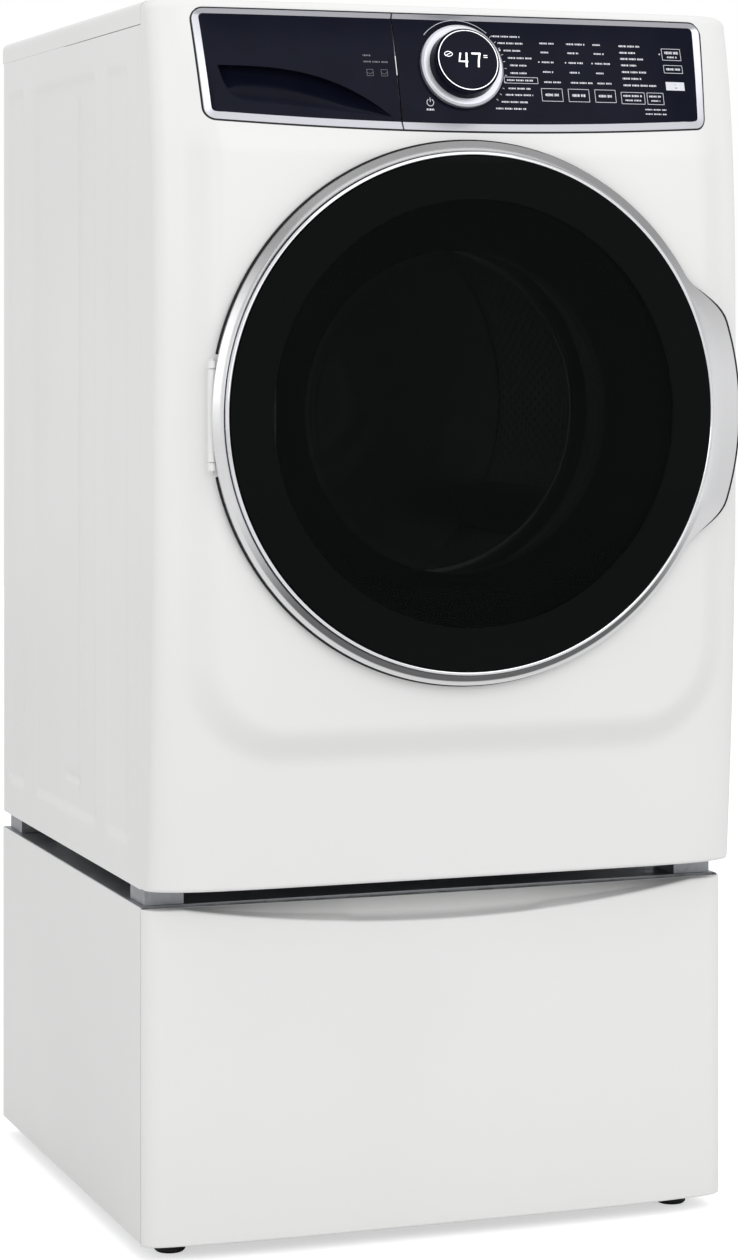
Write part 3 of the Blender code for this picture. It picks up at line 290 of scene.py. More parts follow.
def dial_axes():
    """The dial's centre on the front surface, with its across, up and outward directions."""
    step = 30.0
    slope = float(front_y(DIAL_X, DIAL_Z + step) - front_y(DIAL_X, DIAL_Z - step)) / (2 * step)
    outward = np.array((0.0, -1.0, slope)) / math.hypot(1.0, slope)
    across = np.array((1.0, 0.0, 0.0))
    centre = np.array((DIAL_X, float(front_y(DIAL_X, DIAL_Z)), DIAL_Z))
    return centre, across, np.cross(outward, across), outward


def on_dial(uv, height):
    """A point of the plane across the dial's axis, height millimetres out from the front surface."""
    centre, across, up, outward = dial_axes()
    u, v = uv[..., 0:1], uv[..., 1:2]
    return centre + across * u + up * v + outward * np.asarray(height)


def dial_spun(profile):
    """A closed (radius, height) profile spun about the dial's tilted axis."""
    angle = np.linspace(0, 2 * math.pi, 160, endpoint=False)[None, :]
    radius, height = np.asarray(profile, float).T[:, :, None]
    uv = np.stack(np.broadcast_arrays(radius * np.cos(angle), radius * np.sin(angle)), axis=-1)
    height = np.broadcast_to(height[..., None], uv.shape[:2] + (1,))
    return sheet(on_dial(uv, height), around=True, along=True)


# ---------------------------------------------------------------- making objects


def built(name, shapes, finishes, recalculate=True):
    """One mesh object from (points, faces) shapes; each shape takes the finish of its own number."""
    finishes = finishes if isinstance(finishes, (list, tuple)) else [finishes]
    counts = np.cumsum([0] + [len(points) for points, _ in shapes])
    points = np.concatenate([points for points, _ in shapes])
    faces = np.concatenate([faces + count for (_, faces), count in zip(shapes, counts)])
    mesh = bpy.data.meshes.new(name)
    mesh.from_pydata(place(points).tolist(), [], faces.tolist())
    for finish in finishes:
        mesh.materials.append(finish)
    if len(finishes) > 1:
        numbers = np.repeat(np.arange(len(shapes)), [len(faces) for _, faces in shapes])
        mesh.polygons.foreach_set("material_index", numbers.astype(np.int32))
    bm = bmesh.new()
    bm.from_mesh(mesh)
    bmesh.ops.dissolve_degenerate(bm, dist=1e-7, edges=bm.edges)
    if recalculate:
        bmesh.ops.recalc_face_normals(bm, faces=bm.faces)
    bm.to_mesh(mesh)
    bm.free()
    made = bpy.data.objects.new(name, mesh)
    bpy.context.scene.collection.objects.link(made)
    return made


def carved(made, *cutters):
    """The object with its own modifiers applied and the cutter shapes taken out of it."""
    tools = [built("cutter", [shape], []) for shape in cutters]
    for tool in tools:
        cut = made.modifiers.new("cut", "BOOLEAN")
        cut.object = tool
        cut.solver = "EXACT"
    bpy.context.view_layer.update()
    mesh = bpy.data.meshes.new_from_object(made.evaluated_get(bpy.context.evaluated_depsgraph_get()))
    made.modifiers.clear()
    made.data = mesh
    for tool in tools:
        bpy.data.objects.remove(tool)
    return made


def finished(made, body, slot, *nodes, sharp=38.0):
    """Shades the piece smooth up to an angle, and makes it ride on its body in place of the nodes named."""
    made.data.shade_smooth()
    made.data.set_sharp_from_angle(angle=math.radians(sharp))
    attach(made, body)
    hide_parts(*nodes)
    return made


# ---------------------------------------------------------------- shader maths


class Field:
    """An output of a shader node, with arithmetic written as Python operators."""

    def __init__(self, paint, socket):
        self.paint = paint
        self.socket = socket

    def math(self, operation, *operands):
        return self.paint.node("Math", {"operation": operation}, operands)

    def __add__(self, other):
        return self.math("ADD", self, other)

    def __radd__(self, other):
        return self.math("ADD", other, self)

    def __sub__(self, other):
        return self.math("SUBTRACT", self, other)

    def __rsub__(self, other):
        return self.math("SUBTRACT", other, self)

    def __mul__(self, other):
        return self.math("MULTIPLY", self, other)

    def __rmul__(self, other):
        return self.math("MULTIPLY", other, self)

    def __truediv__(self, other):
        return self.math("DIVIDE", self, other)

    def __rtruediv__(self, other):
        return self.math("DIVIDE", other, self)

    def __pow__(self, other):
        return self.math("POWER", self, other)

    def of(self, operation, *others):
        return self.math(operation, self, *others)

    def ramp(self, low, high):
        """0 at low, 1 at high and clamped outside."""
        inputs = {"Value": self, "From Min": low, "From Max": high}
        return self.paint.node("MapRange", {"interpolation_type": "SMOOTHSTEP"}, inputs)


class Paint:
    """A material round one Principled shader, with short ways to add other nodes."""

    def __init__(self, name, colour, roughness, metallic=0.0, specular=0.5):
        self.material = bpy.data.materials.new(name)
        self.material.use_nodes = True
        self.tree = self.material.node_tree
        self.surface = self.tree.nodes["Principled BSDF"]
        self.colour = (*colour, 1.0)
        self.set("Base Color", self.colour)
        self.set("Roughness", roughness)
        self.set("Metallic", metallic)
        self.set("Specular IOR Level", specular)

    def node(self, kind, settings=None, inputs=(), output=0):
        made = self.tree.nodes.new("ShaderNode" + kind)
        for key, value in (settings or {}).items():
            setattr(made, key, value)
        for key, value in inputs.items() if isinstance(inputs, dict) else enumerate(inputs):
            self.feed(made.inputs[key], value)
        return Field(self, made.outputs[output])

    def feed(self, socket, value):
        if isinstance(value, Field):
            self.tree.links.new(value.socket, socket)
        else:
            socket.default_value = value

    def set(self, name, value):
        self.feed(self.surface.inputs[name], value)

    def position(self):
        return self.node("TexCoord", output="Object")

    def axes(self, source=None):
        """The x, y and z of a position, each as its own field, in metres."""
        source = source or self.position()
        return [self.node("SeparateXYZ", inputs=[source], output=k) for k in range(3)]

    def stretched(self, scales):
        return self.node("VectorMath", {"operation": "MULTIPLY"}, [self.position(), scales])

    def noise(self, scale, detail=3.0, roughness=0.5, source=None):
        inputs = {"Vector": source or self.position(), "Scale": scale}
        return self.node("TexNoise", {}, {**inputs, "Detail": detail, "Roughness": roughness})

    def mix(self, factor, first, second):
        """Two colours mixed by a factor."""
        return self.node("Mix", {"data_type": "RGBA"}, {0: factor, 6: first, 7: second}, 2)

    def bump(self, height, strength, distance):
        inputs = {"Strength": strength, "Distance": distance, "Height": height}
        self.set("Normal", self.node("Bump", {}, inputs))


def shade(colour, factor):
    """A colour made lighter or darker, with its alpha."""
    return tuple(min(c * factor, 1.0) for c in colour[:3]) + (1.0,)


def enamel(colour):
    """White stove enamel: a faint mottle, a fine orange peel and a gloss that varies a little."""
    paint = Paint("white_enamel", colour, 0.3, specular=0.4)
    mottle = paint.noise(2.2, 2.0)
    paint.set("Base Color", paint.mix(mottle.ramp(0.35, 0.65), shade(colour, 0.985), shade(colour, 1.012)))
    paint.set("Roughness", 0.26 + 0.1 * paint.noise(14.0))
    paint.bump(paint.noise(420.0, 1.0), 0.03, 0.0006)
    return paint.material


def silver_paint(colour):
    """Metallic silver paint: fine flakes under a satin coat, with painted shade along the console's top edge.
    """
    paint = Paint("silver_trim", colour, 0.34, 0.75)
    flake = paint.noise(2600.0, 1.0)
    inner_edge = PANEL_TOP_Z - TRIM_WIDTH
    # Painted shade: the strip along the console's top edge is darkened, where the dished face turns down.
    top_edge_shade = paint.axes()[2].ramp((inner_edge + 0.3) * MM, (inner_edge + 2.7) * MM)
    tone = paint.mix(top_edge_shade, shade(colour, 1.03), shade(colour, 0.74))
    paint.set("Base Color", paint.mix(0.12 * flake, tone, shade(colour, 0.8)))
    paint.set("Roughness", 0.3 + 0.1 * paint.noise(30.0))
    paint.bump(flake, 0.02, 0.0003)
    return paint.material


def ring_silver(colour):
    """The door ring's satin metal: a painted reflection makes it greyer round its top, and painted shade
    darkens its inner half round its foot.
    """
    paint = Paint("ring_silver", colour, 0.26, 0.9)
    x, _, z = paint.axes()
    high = (z - AXIS_Z * MM) * (1 / (RING_R * MM))
    radius = (x * x + (z - AXIS_Z * MM) * (z - AXIS_Z * MM)).of("SQRT")
    inner_half = 1.0 - radius.ramp((RING_R - 5.3) * MM, (RING_R - 3.6) * MM)
    foot = (0.0 - high).ramp(0.3, 0.75) * inner_half
    grain = paint.noise(900.0, 2.0)
    # Painted reflection: the metal is lighter low down and greyer round its top.
    tone = paint.mix(high.ramp(0.1, 0.7), shade(colour, 1.12), shade(colour, 0.46))
    # Painted shade: the inner half of the ring round its foot is mixed nearly to black.
    tone = paint.mix(0.88 * foot, tone, shade(colour, 0.05))
    paint.set("Base Color", paint.mix(0.06 * grain, tone, shade(colour, 1.3)))
    paint.set("Roughness", 0.2 + 0.12 * paint.noise(24.0))
    return paint.material


def chrome():
    """Bright plating with a faint haze."""
    colour = (0.86, 0.86, 0.89)
    paint = Paint("chrome_trim", colour, 0.1, 1.0)
    haze = paint.noise(18.0, 4.0)
    paint.set("Base Color", paint.mix(haze, shade(colour, 0.97), shade(colour, 1.02)))
    paint.set("Roughness", 0.06 + 0.07 * haze)
    return paint.material


def window_glass(colour):
    """Dark glass: an opaque black border beyond BORDER_R, and a tinted, see-through middle."""
    paint = Paint("dark_glass", colour, 0.04, specular=0.03)
    x, _, z = paint.axes()
    radius = (x * x + (z - AXIS_Z * MM) * (z - AXIS_Z * MM)).of("SQRT")
    border = radius.ramp((BORDER_R - 0.8) * MM, (BORDER_R + 0.8) * MM)
    smear = paint.noise(6.0, 5.0)
    paint.set("Alpha", 0.62 + 0.38 * border)
    paint.set("Base Color", paint.mix(border, shade(colour, 0.7), shade(colour, 1.1)))
    paint.set("Roughness", 0.03 + 0.05 * smear.ramp(0.45, 0.75))
    return paint.material


def bowl_glass():
    """Clear moulded glass with a painted sheen: more solid and lighter where it is seen edge on, with faint
    waves.
    """
    colour = (0.2, 0.22, 0.22)
    paint = Paint("clear_glass", colour, 0.03, specular=0.2)
    edge_on_sheen = paint.node("LayerWeight", {}, {"Blend": 0.35}, "Facing")
    # Painted sheen: alpha and colour rise where the glass is seen edge on.
    paint.set("Alpha", 0.05 + 0.45 * edge_on_sheen ** 2.0)
    paint.set("Base Color", paint.mix(edge_on_sheen, shade(colour, 0.8), shade(colour, 1.1)))
    paint.bump(paint.noise(9.0, 2.0), 0.05, 0.004)
    return paint.material


def navy_gloss(colour):
    """The console's dark gloss moulding: nearly black, with a trace of haze."""
    paint = Paint("navy_gloss", colour, 0.16, specular=0.05)
    haze = paint.noise(22.0, 4.0)
    paint.set("Base Color", paint.mix(haze.ramp(0.3, 0.7), shade(colour, 0.9), shade(colour, 1.12)))
    paint.set("Roughness", 0.13 + 0.09 * haze)
    paint.bump(paint.noise(300.0, 1.0), 0.02, 0.0004)
    return paint.material


def brushed_steel(name, axis):
    """Brushed stainless: fine scratches drawn out along one axis."""
    colour = (0.58, 0.58, 0.59)
    paint = Paint(name, colour, 0.28, 1.0)
    scales = [900.0, 900.0, 900.0]
    scales[axis] = 14.0
    scratches = paint.noise(1.0, 4.0, 0.6, paint.stretched(tuple(scales)))
    paint.set("Base Color", paint.mix(scratches, shade(colour, 0.86), shade(colour, 1.1)))
    paint.set("Roughness", 0.2 + 0.2 * scratches)
    paint.bump(scratches, 0.06, 0.0003)
    return paint.material


def drum_steel(pitch, hole):
    """The drum's steel, with staggered rows of round holes in its wall.

    A hole's place comes from the angle round the drum's axis and the distance along it, over the pitch."""
    colour = (0.56, 0.56, 0.57)
    paint = Paint("drum_steel", colour, 0.26, 1.0)
    x, y, z = paint.axes()
    high = z - AXIS_Z * MM
    count = round(2 * math.pi * DRUM_R / pitch)
    turn = x.of("ARCTAN2", high) * (count / (2 * math.pi))
    row = y / (pitch * MM)
    odd = row.of("FLOOR").of("FLOORED_MODULO", 2.0) * 0.5
    u = (turn + odd).of("FRACT") - 0.5
    v = row.of("FRACT") - 0.5
    distance = (u * u + v * v).of("SQRT")
    rim = distance.ramp(hole / pitch / 2, hole / pitch / 2 + 0.07)
    radius = (x * x + high * high).of("SQRT")
    wall = radius.ramp(0.262, 0.264)
    plain = 1.0 - (1.0 - rim) * wall
    scratches = paint.noise(1.0, 4.0, 0.6, paint.stretched((30.0, 700.0, 30.0)))
    steel = paint.mix(scratches, shade(colour, 0.88), shade(colour, 1.1))
    paint.set("Base Color", paint.mix(plain, (0.01, 0.01, 0.01, 1.0), steel))
    paint.set("Metallic", plain)
    paint.set("Roughness", 0.7 - 0.45 * plain)
    paint.bump(plain + 0.05 * scratches, 0.5, 0.0012)
    return paint.material


def galvanised():
    """Zinc-coated steel: a patchwork of crystals with slightly different greys."""
    colour = (0.36, 0.37, 0.39)
    paint = Paint("galvanised_steel", colour, 0.42, 0.85)
    crystal = paint.node("TexVoronoi", {}, {"Vector": paint.position(), "Scale": 95.0}, "Color")
    tone = paint.axes(crystal)[0]
    paint.set("Base Color", paint.mix(tone, shade(colour, 0.82), shade(colour, 1.12)))
    paint.set("Roughness", 0.34 + 0.18 * tone)
    paint.bump(paint.noise(160.0), 0.05, 0.0005)
    return paint.material


def moulded(name, colour, roughness, grain, specular=0.3):
    """A moulded plastic or rubber: a fine grain, with uneven sheen and tone."""
    paint = Paint(name, colour, roughness, specular=specular)
    cloud, texture = paint.noise(7.0, 4.0), paint.noise(grain, 2.0, 0.6)
    paint.set("Base Color", paint.mix(cloud.ramp(0.3, 0.7), shade(colour, 0.88), shade(colour, 1.1)))
    paint.set("Roughness", roughness - 0.08 + 0.16 * texture)
    paint.bump(texture, 0.12, 0.0005)
    return paint.material


def cast_iron():
    """Bare casting: small pits and a rough, uneven skin."""
    colour = (0.11, 0.11, 0.12)
    paint = Paint("cast_iron", colour, 0.7, specular=0.3)
    pits = paint.node("TexVoronoi", {}, {"Vector": paint.position(), "Scale": 260.0}, "Distance")
    skin = paint.noise(40.0, 8.0, 0.7)
    paint.set("Base Color", paint.mix(skin, shade(colour, 0.7), shade(colour, 1.4)))
    paint.set("Roughness", 0.58 + 0.25 * skin)
    paint.bump(pits + skin, 0.4, 0.0015)
    return paint.material


def print_ink(name, colour, glow):
    """Printed or lit marks: pale ink, a little uneven, with some light of its own, which on printed marks is
    painted light.
    """
    paint = Paint(name, colour, 0.5, specular=0.2)
    wear = paint.noise(120.0, 2.0)
    paint.set("Base Color", paint.mix(wear, shade(colour, 0.85), shade(colour, 1.05)))
    paint.set("Emission Color", paint.mix(wear, shade(colour, 0.9), shade(colour, 1.0)))
    paint.set("Emission Strength", glow)
    return paint.material


FINISHES = {}


def finish(name):
    """The material made under that name."""
    if name not in FINISHES:
        raise RuntimeError("the finish %s hasn't been made: run the finishes operator first" % name)
    return FINISHES[name]


# ---------------------------------------------------------------- the cabinet


def front_skin():
    """The bowed front: y is front_y(x, z), with columns at x = half width times sine, a rounded foot and a
    quarter-round roll at the top. Solidify gives it its sheet, and the door's and console's holes are cut."""
    turn = np.linspace(-math.pi / 2, math.pi / 2, 141)
    quarter = np.linspace(0, math.pi / 2, 9)
    foot_z, foot_back = 402.5 + 4.5 * (1 - np.cos(quarter)), 5.5 * (1 - np.sin(quarter))
    roll_z, roll_back = TOP_Z - TOP_ROLL * (1 - np.sin(quarter)), TOP_ROLL * (1 - np.cos(quarter))
    flat_z = np.linspace(410, TOP_Z - TOP_ROLL - 3, 190)
    z = np.concatenate([foot_z, flat_z, roll_z])[:, None]
    back = np.concatenate([foot_back, np.zeros_like(flat_z), roll_back])[:, None]
    drop = np.maximum(z - (TOP_Z - TOP_CORNER), 0)
    half = HALF_WIDTH - TOP_CORNER + np.sqrt(np.maximum(TOP_CORNER ** 2 - drop ** 2, 0))
    across = np.sin(turn)[None, :]
    y = np.minimum(front_y(across * HALF_WIDTH, z) + back, -FIT - 0.2)
    grid = stacked(across * half, y, z)
    seam = grid[:, [0, -1]].copy()
    seam[..., 1] = -FIT
    grid = np.concatenate([seam[:, :1], grid, seam[:, 1:]], axis=1)
    last = grid[-1:].copy()
    last[..., 1] = -FIT
    shape = sheet(np.concatenate([grid, last]))
    skin = built("front_skin", [shape], finish("enamel"), recalculate=False)
    wall = skin.modifiers.new("wall", "SOLIDIFY")
    wall.thickness = SHEET * MM
    wall.offset = -1.0
    hole = [(0, -150), (SEAT_R + 1, -150), (SEAT_R + 1, -5), (0, -5)]
    door = turned(hole, (0, AXIS_Z), segments=256, loop=False)
    loop = panel_loop(-2.0)
    levels = np.array((-140.0, -5.0))[:, None]
    console = capped(stacked(loop[None, :, 0], levels, loop[None, :, 1]))
    return finished(carved(skin, door, console), "cabinet", "white_enamel", "front_panel", sharp=30)


def door_seat():
    """The seat round the loading hole: a flat ring, and a wall that ends just behind the front's surface."""
    angle = np.linspace(0, 2 * math.pi, 256, endpoint=False)[None, :]
    corners = [(OPENING_R, SEAT_Y + SHEET), (OPENING_R, SEAT_Y), (SEAT_R, SEAT_Y), (SEAT_R, SEAT_Y - 8)]
    flat = filleted(corners, 1.5, 5, closed=False)
    radius, depth = flat.T[:, :, None]
    rows = [(radius, depth + 0 * angle)]
    lip = ((SEAT_R, 0.5), (SEAT_R + 0.8, 0.3), (SEAT_R + 0.9, SHEET + 0.3), (SEAT_R + 2.6, SHEET + 0.6))
    for r, behind in lip:
        surface = front_y(r * np.cos(angle), AXIS_Z + r * np.sin(angle))
        rows.append((np.array([[r]]), surface + behind))
    rows.append((np.array([[SEAT_R + 2.6]]), SEAT_Y + SHEET + 0 * angle))
    r = np.concatenate([np.broadcast_to(a, b.shape) for a, b in rows])
    y = np.concatenate([b for _, b in rows])
    y = np.minimum(y, SEAT_Y + SHEET)
    ring = sheet(stacked(r * np.cos(angle), y, AXIS_Z + r * np.sin(angle)), around=True, along=True)
    slot = block((230, SEAT_Y - 5, AXIS_Z - 10), (256, SEAT_Y + 6, AXIS_Z + 10), 2.0, axis=1)
    seat = carved(built("door_seat", [ring], finish("enamel")), slot)
    return finished(seat, "cabinet", "white_enamel", "front_panel")


def side_relief(y, z, depth):
    """How deep the side is pressed in: three tall fields with smooth slopes, the middle one with a rib."""
    tall = plateau(z, 446.0, 1291.0, 16.0)
    fields = plateau(y, 55, 135, 15) + plateau(y, 190, 460, 15) + plateau(y, 520, 592, 15)
    rib = plateau(y, 259, 265, 7) * plateau(z, 470, 1275, 20)
    dimple = plateau(y, 262, 330, 18) * plateau(z, 482, 489, 8)
    return depth * (tall * (fields - 0.75 * rib) + 0.8 * dimple)


def side_skin(name, side, depth):
    """A folded side: a U section with rounded corners carried up in z, pressed inwards by side_relief."""
    def wall(inset):
        low_x, front, rear = HALF_WIDTH - 18, FIT + inset, SIDE_REAR_Y - inset
        outer = HALF_WIDTH - inset
        near = [(low_x, front), (outer, front), (outer, front + 8)]
        far = [(outer, rear - 8), (outer, rear), (low_x, rear)]
        near, far = [filleted(corner, 2.6 - inset, 6, closed=False) for corner in (near, far)]
        y = np.linspace(front + 9, rear - 9, 150)
        section = np.concatenate([near, np.stack([np.full_like(y, outer), y], axis=1), far])
        z = np.concatenate([np.linspace(WASHER_LOW_Z, WASHER_LOW_Z + 90, 36),
                            np.linspace(WASHER_LOW_Z + 96, 1250, 60),
                            np.linspace(1256, SEAM_Z - 0.8, 36)])[:, None]
        x, y = section.T[:, None, :]
        pressed = side_relief(y, z, depth) * (x > outer - 0.01)
        return stacked(side * (x - pressed), y, z)

    shelf = block((side * 321 - 21, 235, 1297.5), (side * 321 + 21, 275, 1300.5), 1.0)
    skin = built(name, [walled(wall(0.0), wall(SHEET)), shelf], finish("enamel"))
    return finished(skin, "cabinet", "white_enamel", name.replace("side_skin", "cabinet_side"))


def lid():
    """The top: a section with rounded shoulders, carried back in y and crowned by a parabola times a sine."""
    def wall(inset):
        half, top = HALF_WIDTH - inset, TOP_Z - inset
        corners = [(-half, SEAM_Z), (-half, top), (half, top), (half, SEAM_Z)]
        section = filleted(corners, TOP_CORNER - inset, 9, closed=False)
        flat = np.linspace(FIT + 8, COVER_REAR_Y - 10, 30)
        y = np.concatenate([[FIT, FIT + 0.5], flat, [COVER_REAR_Y]])[:, None]
        x, z = section.T[:, None, :]
        crowned = (1 - (x / HALF_WIDTH) ** 2) * np.sin(math.pi * (y - FIT) / (COVER_REAR_Y - FIT))
        return stacked(x, y, z - 0.4 * (z > TOP_Z - 6) * (1 - crowned))

    cover = built("top_lid", [walled(wall(0.0), wall(SHEET))], finish("enamel"))
    return finished(cover, "cabinet", "white_enamel", "top_cover")


# ---------------------------------------------------------------- the control panel


def panel_low(x):
    """The panel's lower edge: a shallow sagging arc."""
    return PANEL_LOW_Z + PANEL_END_RISE * (x / (PANEL_HALF - 1)) ** 2


def panel_edge(side, inset, start=None):
    """The panel's outline moved in by inset: from the split along the top, round one end and back below."""
    start = PANEL_SPLIT_X + SPLIT_GAP * side if start is None else start
    top = PANEL_TOP_Z - inset * 0.65
    corner = max(PANEL_CORNER - inset, 4.0)
    end = PANEL_HALF - inset
    turn = np.linspace(math.pi / 2, 0, 9)
    head = np.linspace(side * start, end - corner, 25)[:-1]
    foot_x = end - PANEL_LEAN - corner
    foot_z = panel_low(foot_x) + inset + corner
    tail = np.linspace(foot_x, side * start, 25)[1:]
    slope = np.linspace(0, 1, 8)[1:-1]
    x = np.concatenate([head, end - corner + corner * np.cos(turn), end - PANEL_LEAN * slope,
                        foot_x + corner * np.cos(turn[::-1]), tail])
    z = np.concatenate([np.full(24, top), top - corner + corner * np.sin(turn),
                        top - corner + (foot_z - top + corner) * slope, foot_z - corner * np.sin(turn[::-1]),
                        panel_low(tail) + inset])
    return np.stack([side * x, z], axis=1)


def panel_loop(inset):
    """The whole panel's closed outline."""
    right, left = panel_edge(1, inset, 0.0), panel_edge(-1, inset, 0.0)
    return np.concatenate([right, left[::-1][1:-1]])


def trim(name, side, body, node):
    """The silver surround: a dished section, deepest at its inner edge, carried along the panel's outline."""
    corners = [(0, -10), (0, 1.3), (TRIM_WIDTH, -FACE_DEPTH), (TRIM_WIDTH, -10)]
    section = filleted(corners, (0.1, 0.7, 0.35, 0.1), 4)
    loops = [on_front(panel_edge(side, inset), height) for inset, height in section]
    surround = built(name, [capped(np.stack(loops, axis=1))], finish("silver"))
    return finished(surround, body, "silver_trim", node)


def panel_gap():
    """The dark joint round the surround: a ring just below the front's surface, wider than the surround."""
    section = [(-2.4, -0.3), (1.0, -0.3), (1.0, -4.5), (-2.4, -4.5)]
    grid = np.stack([on_front(panel_loop(inset), height) for inset, height in section], axis=1)
    rows = sheet(grid, around=True, along=True)
    return finished(built("panel_joint", [rows], finish("black")), "cabinet", "black_plastic")


def grip_lower(x):
    """The finger grip's lower edge: a steep start at its left tip, then a slow fall."""
    t = (x + 272.0) / 178.0
    return 1249.0 - 14.0 * t + 34.0 * np.exp(-np.maximum(x + 274.0, 0) / 7.0)


def grip_upper(x):
    """The finger grip's upper edge: level at the left and falling ever faster to its right tip."""
    return 1286.5 - 50.0 * np.clip((x + 276.5) / 190.5, 0, 1.05) ** 3


def stop_at(stops, number):
    """The height of each column's stop of that number."""
    return np.choose(np.broadcast_to(number, stops[0].shape), stops)


def fascia_grid(side, grip_depth):
    """The panel's dark face on one side of the split.

    Columns run between the outline's two ends. Rows run between the lower edge, the grip's two edges and the
    upper edge. Between the grip's edges the face sinks smoothly to grip_depth, then returns sharply."""
    inset = TRIM_WIDTH - 0.5
    corner = max(PANEL_CORNER - inset, 4.0)
    rows = [np.linspace(0, 1, n) for n in (15, 31, 3, 26)]
    level = np.concatenate([k + part[:-1] for k, part in enumerate(rows)] + [[4.0]])[:, None]
    high = PANEL_TOP_Z - inset * 0.65
    u = np.linspace(0, 1, 150)[None, :]
    split = side * (PANEL_SPLIT_X + SPLIT_GAP * side)
    v = (np.interp(level, (0, 1, 2, 3, 4), (0, 0.2, 0.45, 0.46, 1)) - 0.5) * 2
    half_height = (high - PANEL_LOW_Z) / 2
    rounding = np.maximum(np.abs(v) * half_height - (half_height - corner), 0)
    drawn_in = corner - np.sqrt(np.maximum(corner ** 2 - np.minimum(rounding, corner) ** 2, 0))
    end = PANEL_HALF - inset - PANEL_LEAN * (1 - v) / 2 - drawn_in
    x = side * (split + (end - split) * (1 - (1 - u) ** 1.4))
    low = panel_low(x) + inset
    if side < 0:
        lower = np.clip(grip_lower(x), low + 1, high - 20)
        upper = np.maximum(grip_upper(x), lower + 0.01)
        reach = np.minimum(grip_depth, 0.5 * (upper - lower)) * smoothstep((x - GRIP_TIP_X) / 8.0)
    else:
        lower, upper = low + 0.2 * (high - low), low + 0.45 * (high - low)
        reach = 0.0
    stops = [low, lower, upper, upper + 0.9, np.full_like(low, high)]
    first = np.minimum(np.floor(level).astype(int), 3)
    part = level - first
    z = stop_at(stops, first) * (1 - part) + stop_at(stops, first + 1) * part
    sunk = np.where(first == 1, smoothstep(part / 0.85), np.where(first == 2, 1 - part, 0.0))
    return x, z, sunk * reach


def fascia(name, side, body, node, grip_depth=0.0):
    """One dark face, a wall of even depth; the sunk part of its grip takes a darker copy of the gloss as
    painted shade.
    """
    x, z, sunk = fascia_grid(side, grip_depth)
    y = front_y(x, z) + FACE_DEPTH + sunk
    face = built(name, [walled(stacked(x, y, z), stacked(x, y + 2.4, z))], finish("navy"))
    face.data.materials.append(finish("deep_navy"))
    centres = np.zeros(len(face.data.polygons) * 3, np.float32)
    face.data.polygons.foreach_get("center", centres)
    x, y, z = (centres.reshape(-1, 3) / MM + (0.0, DEPTH_CENTRE, 0.0)).T
    # Painted shade: faces sunk into the grip get the darker copy of the gloss.
    deep = (y - front_y(x, z) > FACE_DEPTH + 0.7).astype(np.int32)
    face.data.polygons.foreach_set("material_index", deep)
    return finished(face, body, "navy_gloss", node, sharp=50)


def stroke(path, width, onto, height):
    """A thin flat ribbon on the surface given by onto: the path moved sideways by half the width each way."""
    path = np.asarray(path, float)
    step = np.gradient(path, axis=0)
    normal = np.stack([-step[:, 1], step[:, 0]], axis=1)
    normal *= width / 2 / np.linalg.norm(normal, axis=1)[:, None]
    sides = np.stack([path + normal, path - normal])
    return walled(onto(sides, height), onto(sides, height - 0.25))


def ring_path(centre, radius, low, high, count):
    """Points on an arc from low to high degrees."""
    angle = np.radians(np.linspace(low, high, count))
    return np.stack([centre[0] + radius * np.cos(angle), centre[1] + radius * np.sin(angle)], axis=1)


def frame_strokes(x0, x1, z0, z1, width, onto, height):
    """A rectangle's four sides."""
    corners = [(x0, z0), (x1, z0), (x1, z1), (x0, z1), (x0, z0)]
    return [stroke([a, b], width, onto, height) for a, b in zip(corners, corners[1:])]


def caption(x0, x1, z, tall, onto, height):
    """A stand-in for a printed caption: a row of small plain dashes whose widths follow a sine."""
    strokes, x, k = [], x0, 0
    while x < x1 - 0.6:
        wide = 1.25 + 0.55 * math.sin(2.3 * k + 0.7 * x0)
        rise = tall * (1.0 if k % 3 else 0.8)
        stop = min(x + wide, x1)
        strokes.append(stroke([(x, z), (stop, z)], rise, onto, height))
        x = stop + (1.9 if k % 5 == 4 else 0.62)
        k += 1
    return strokes


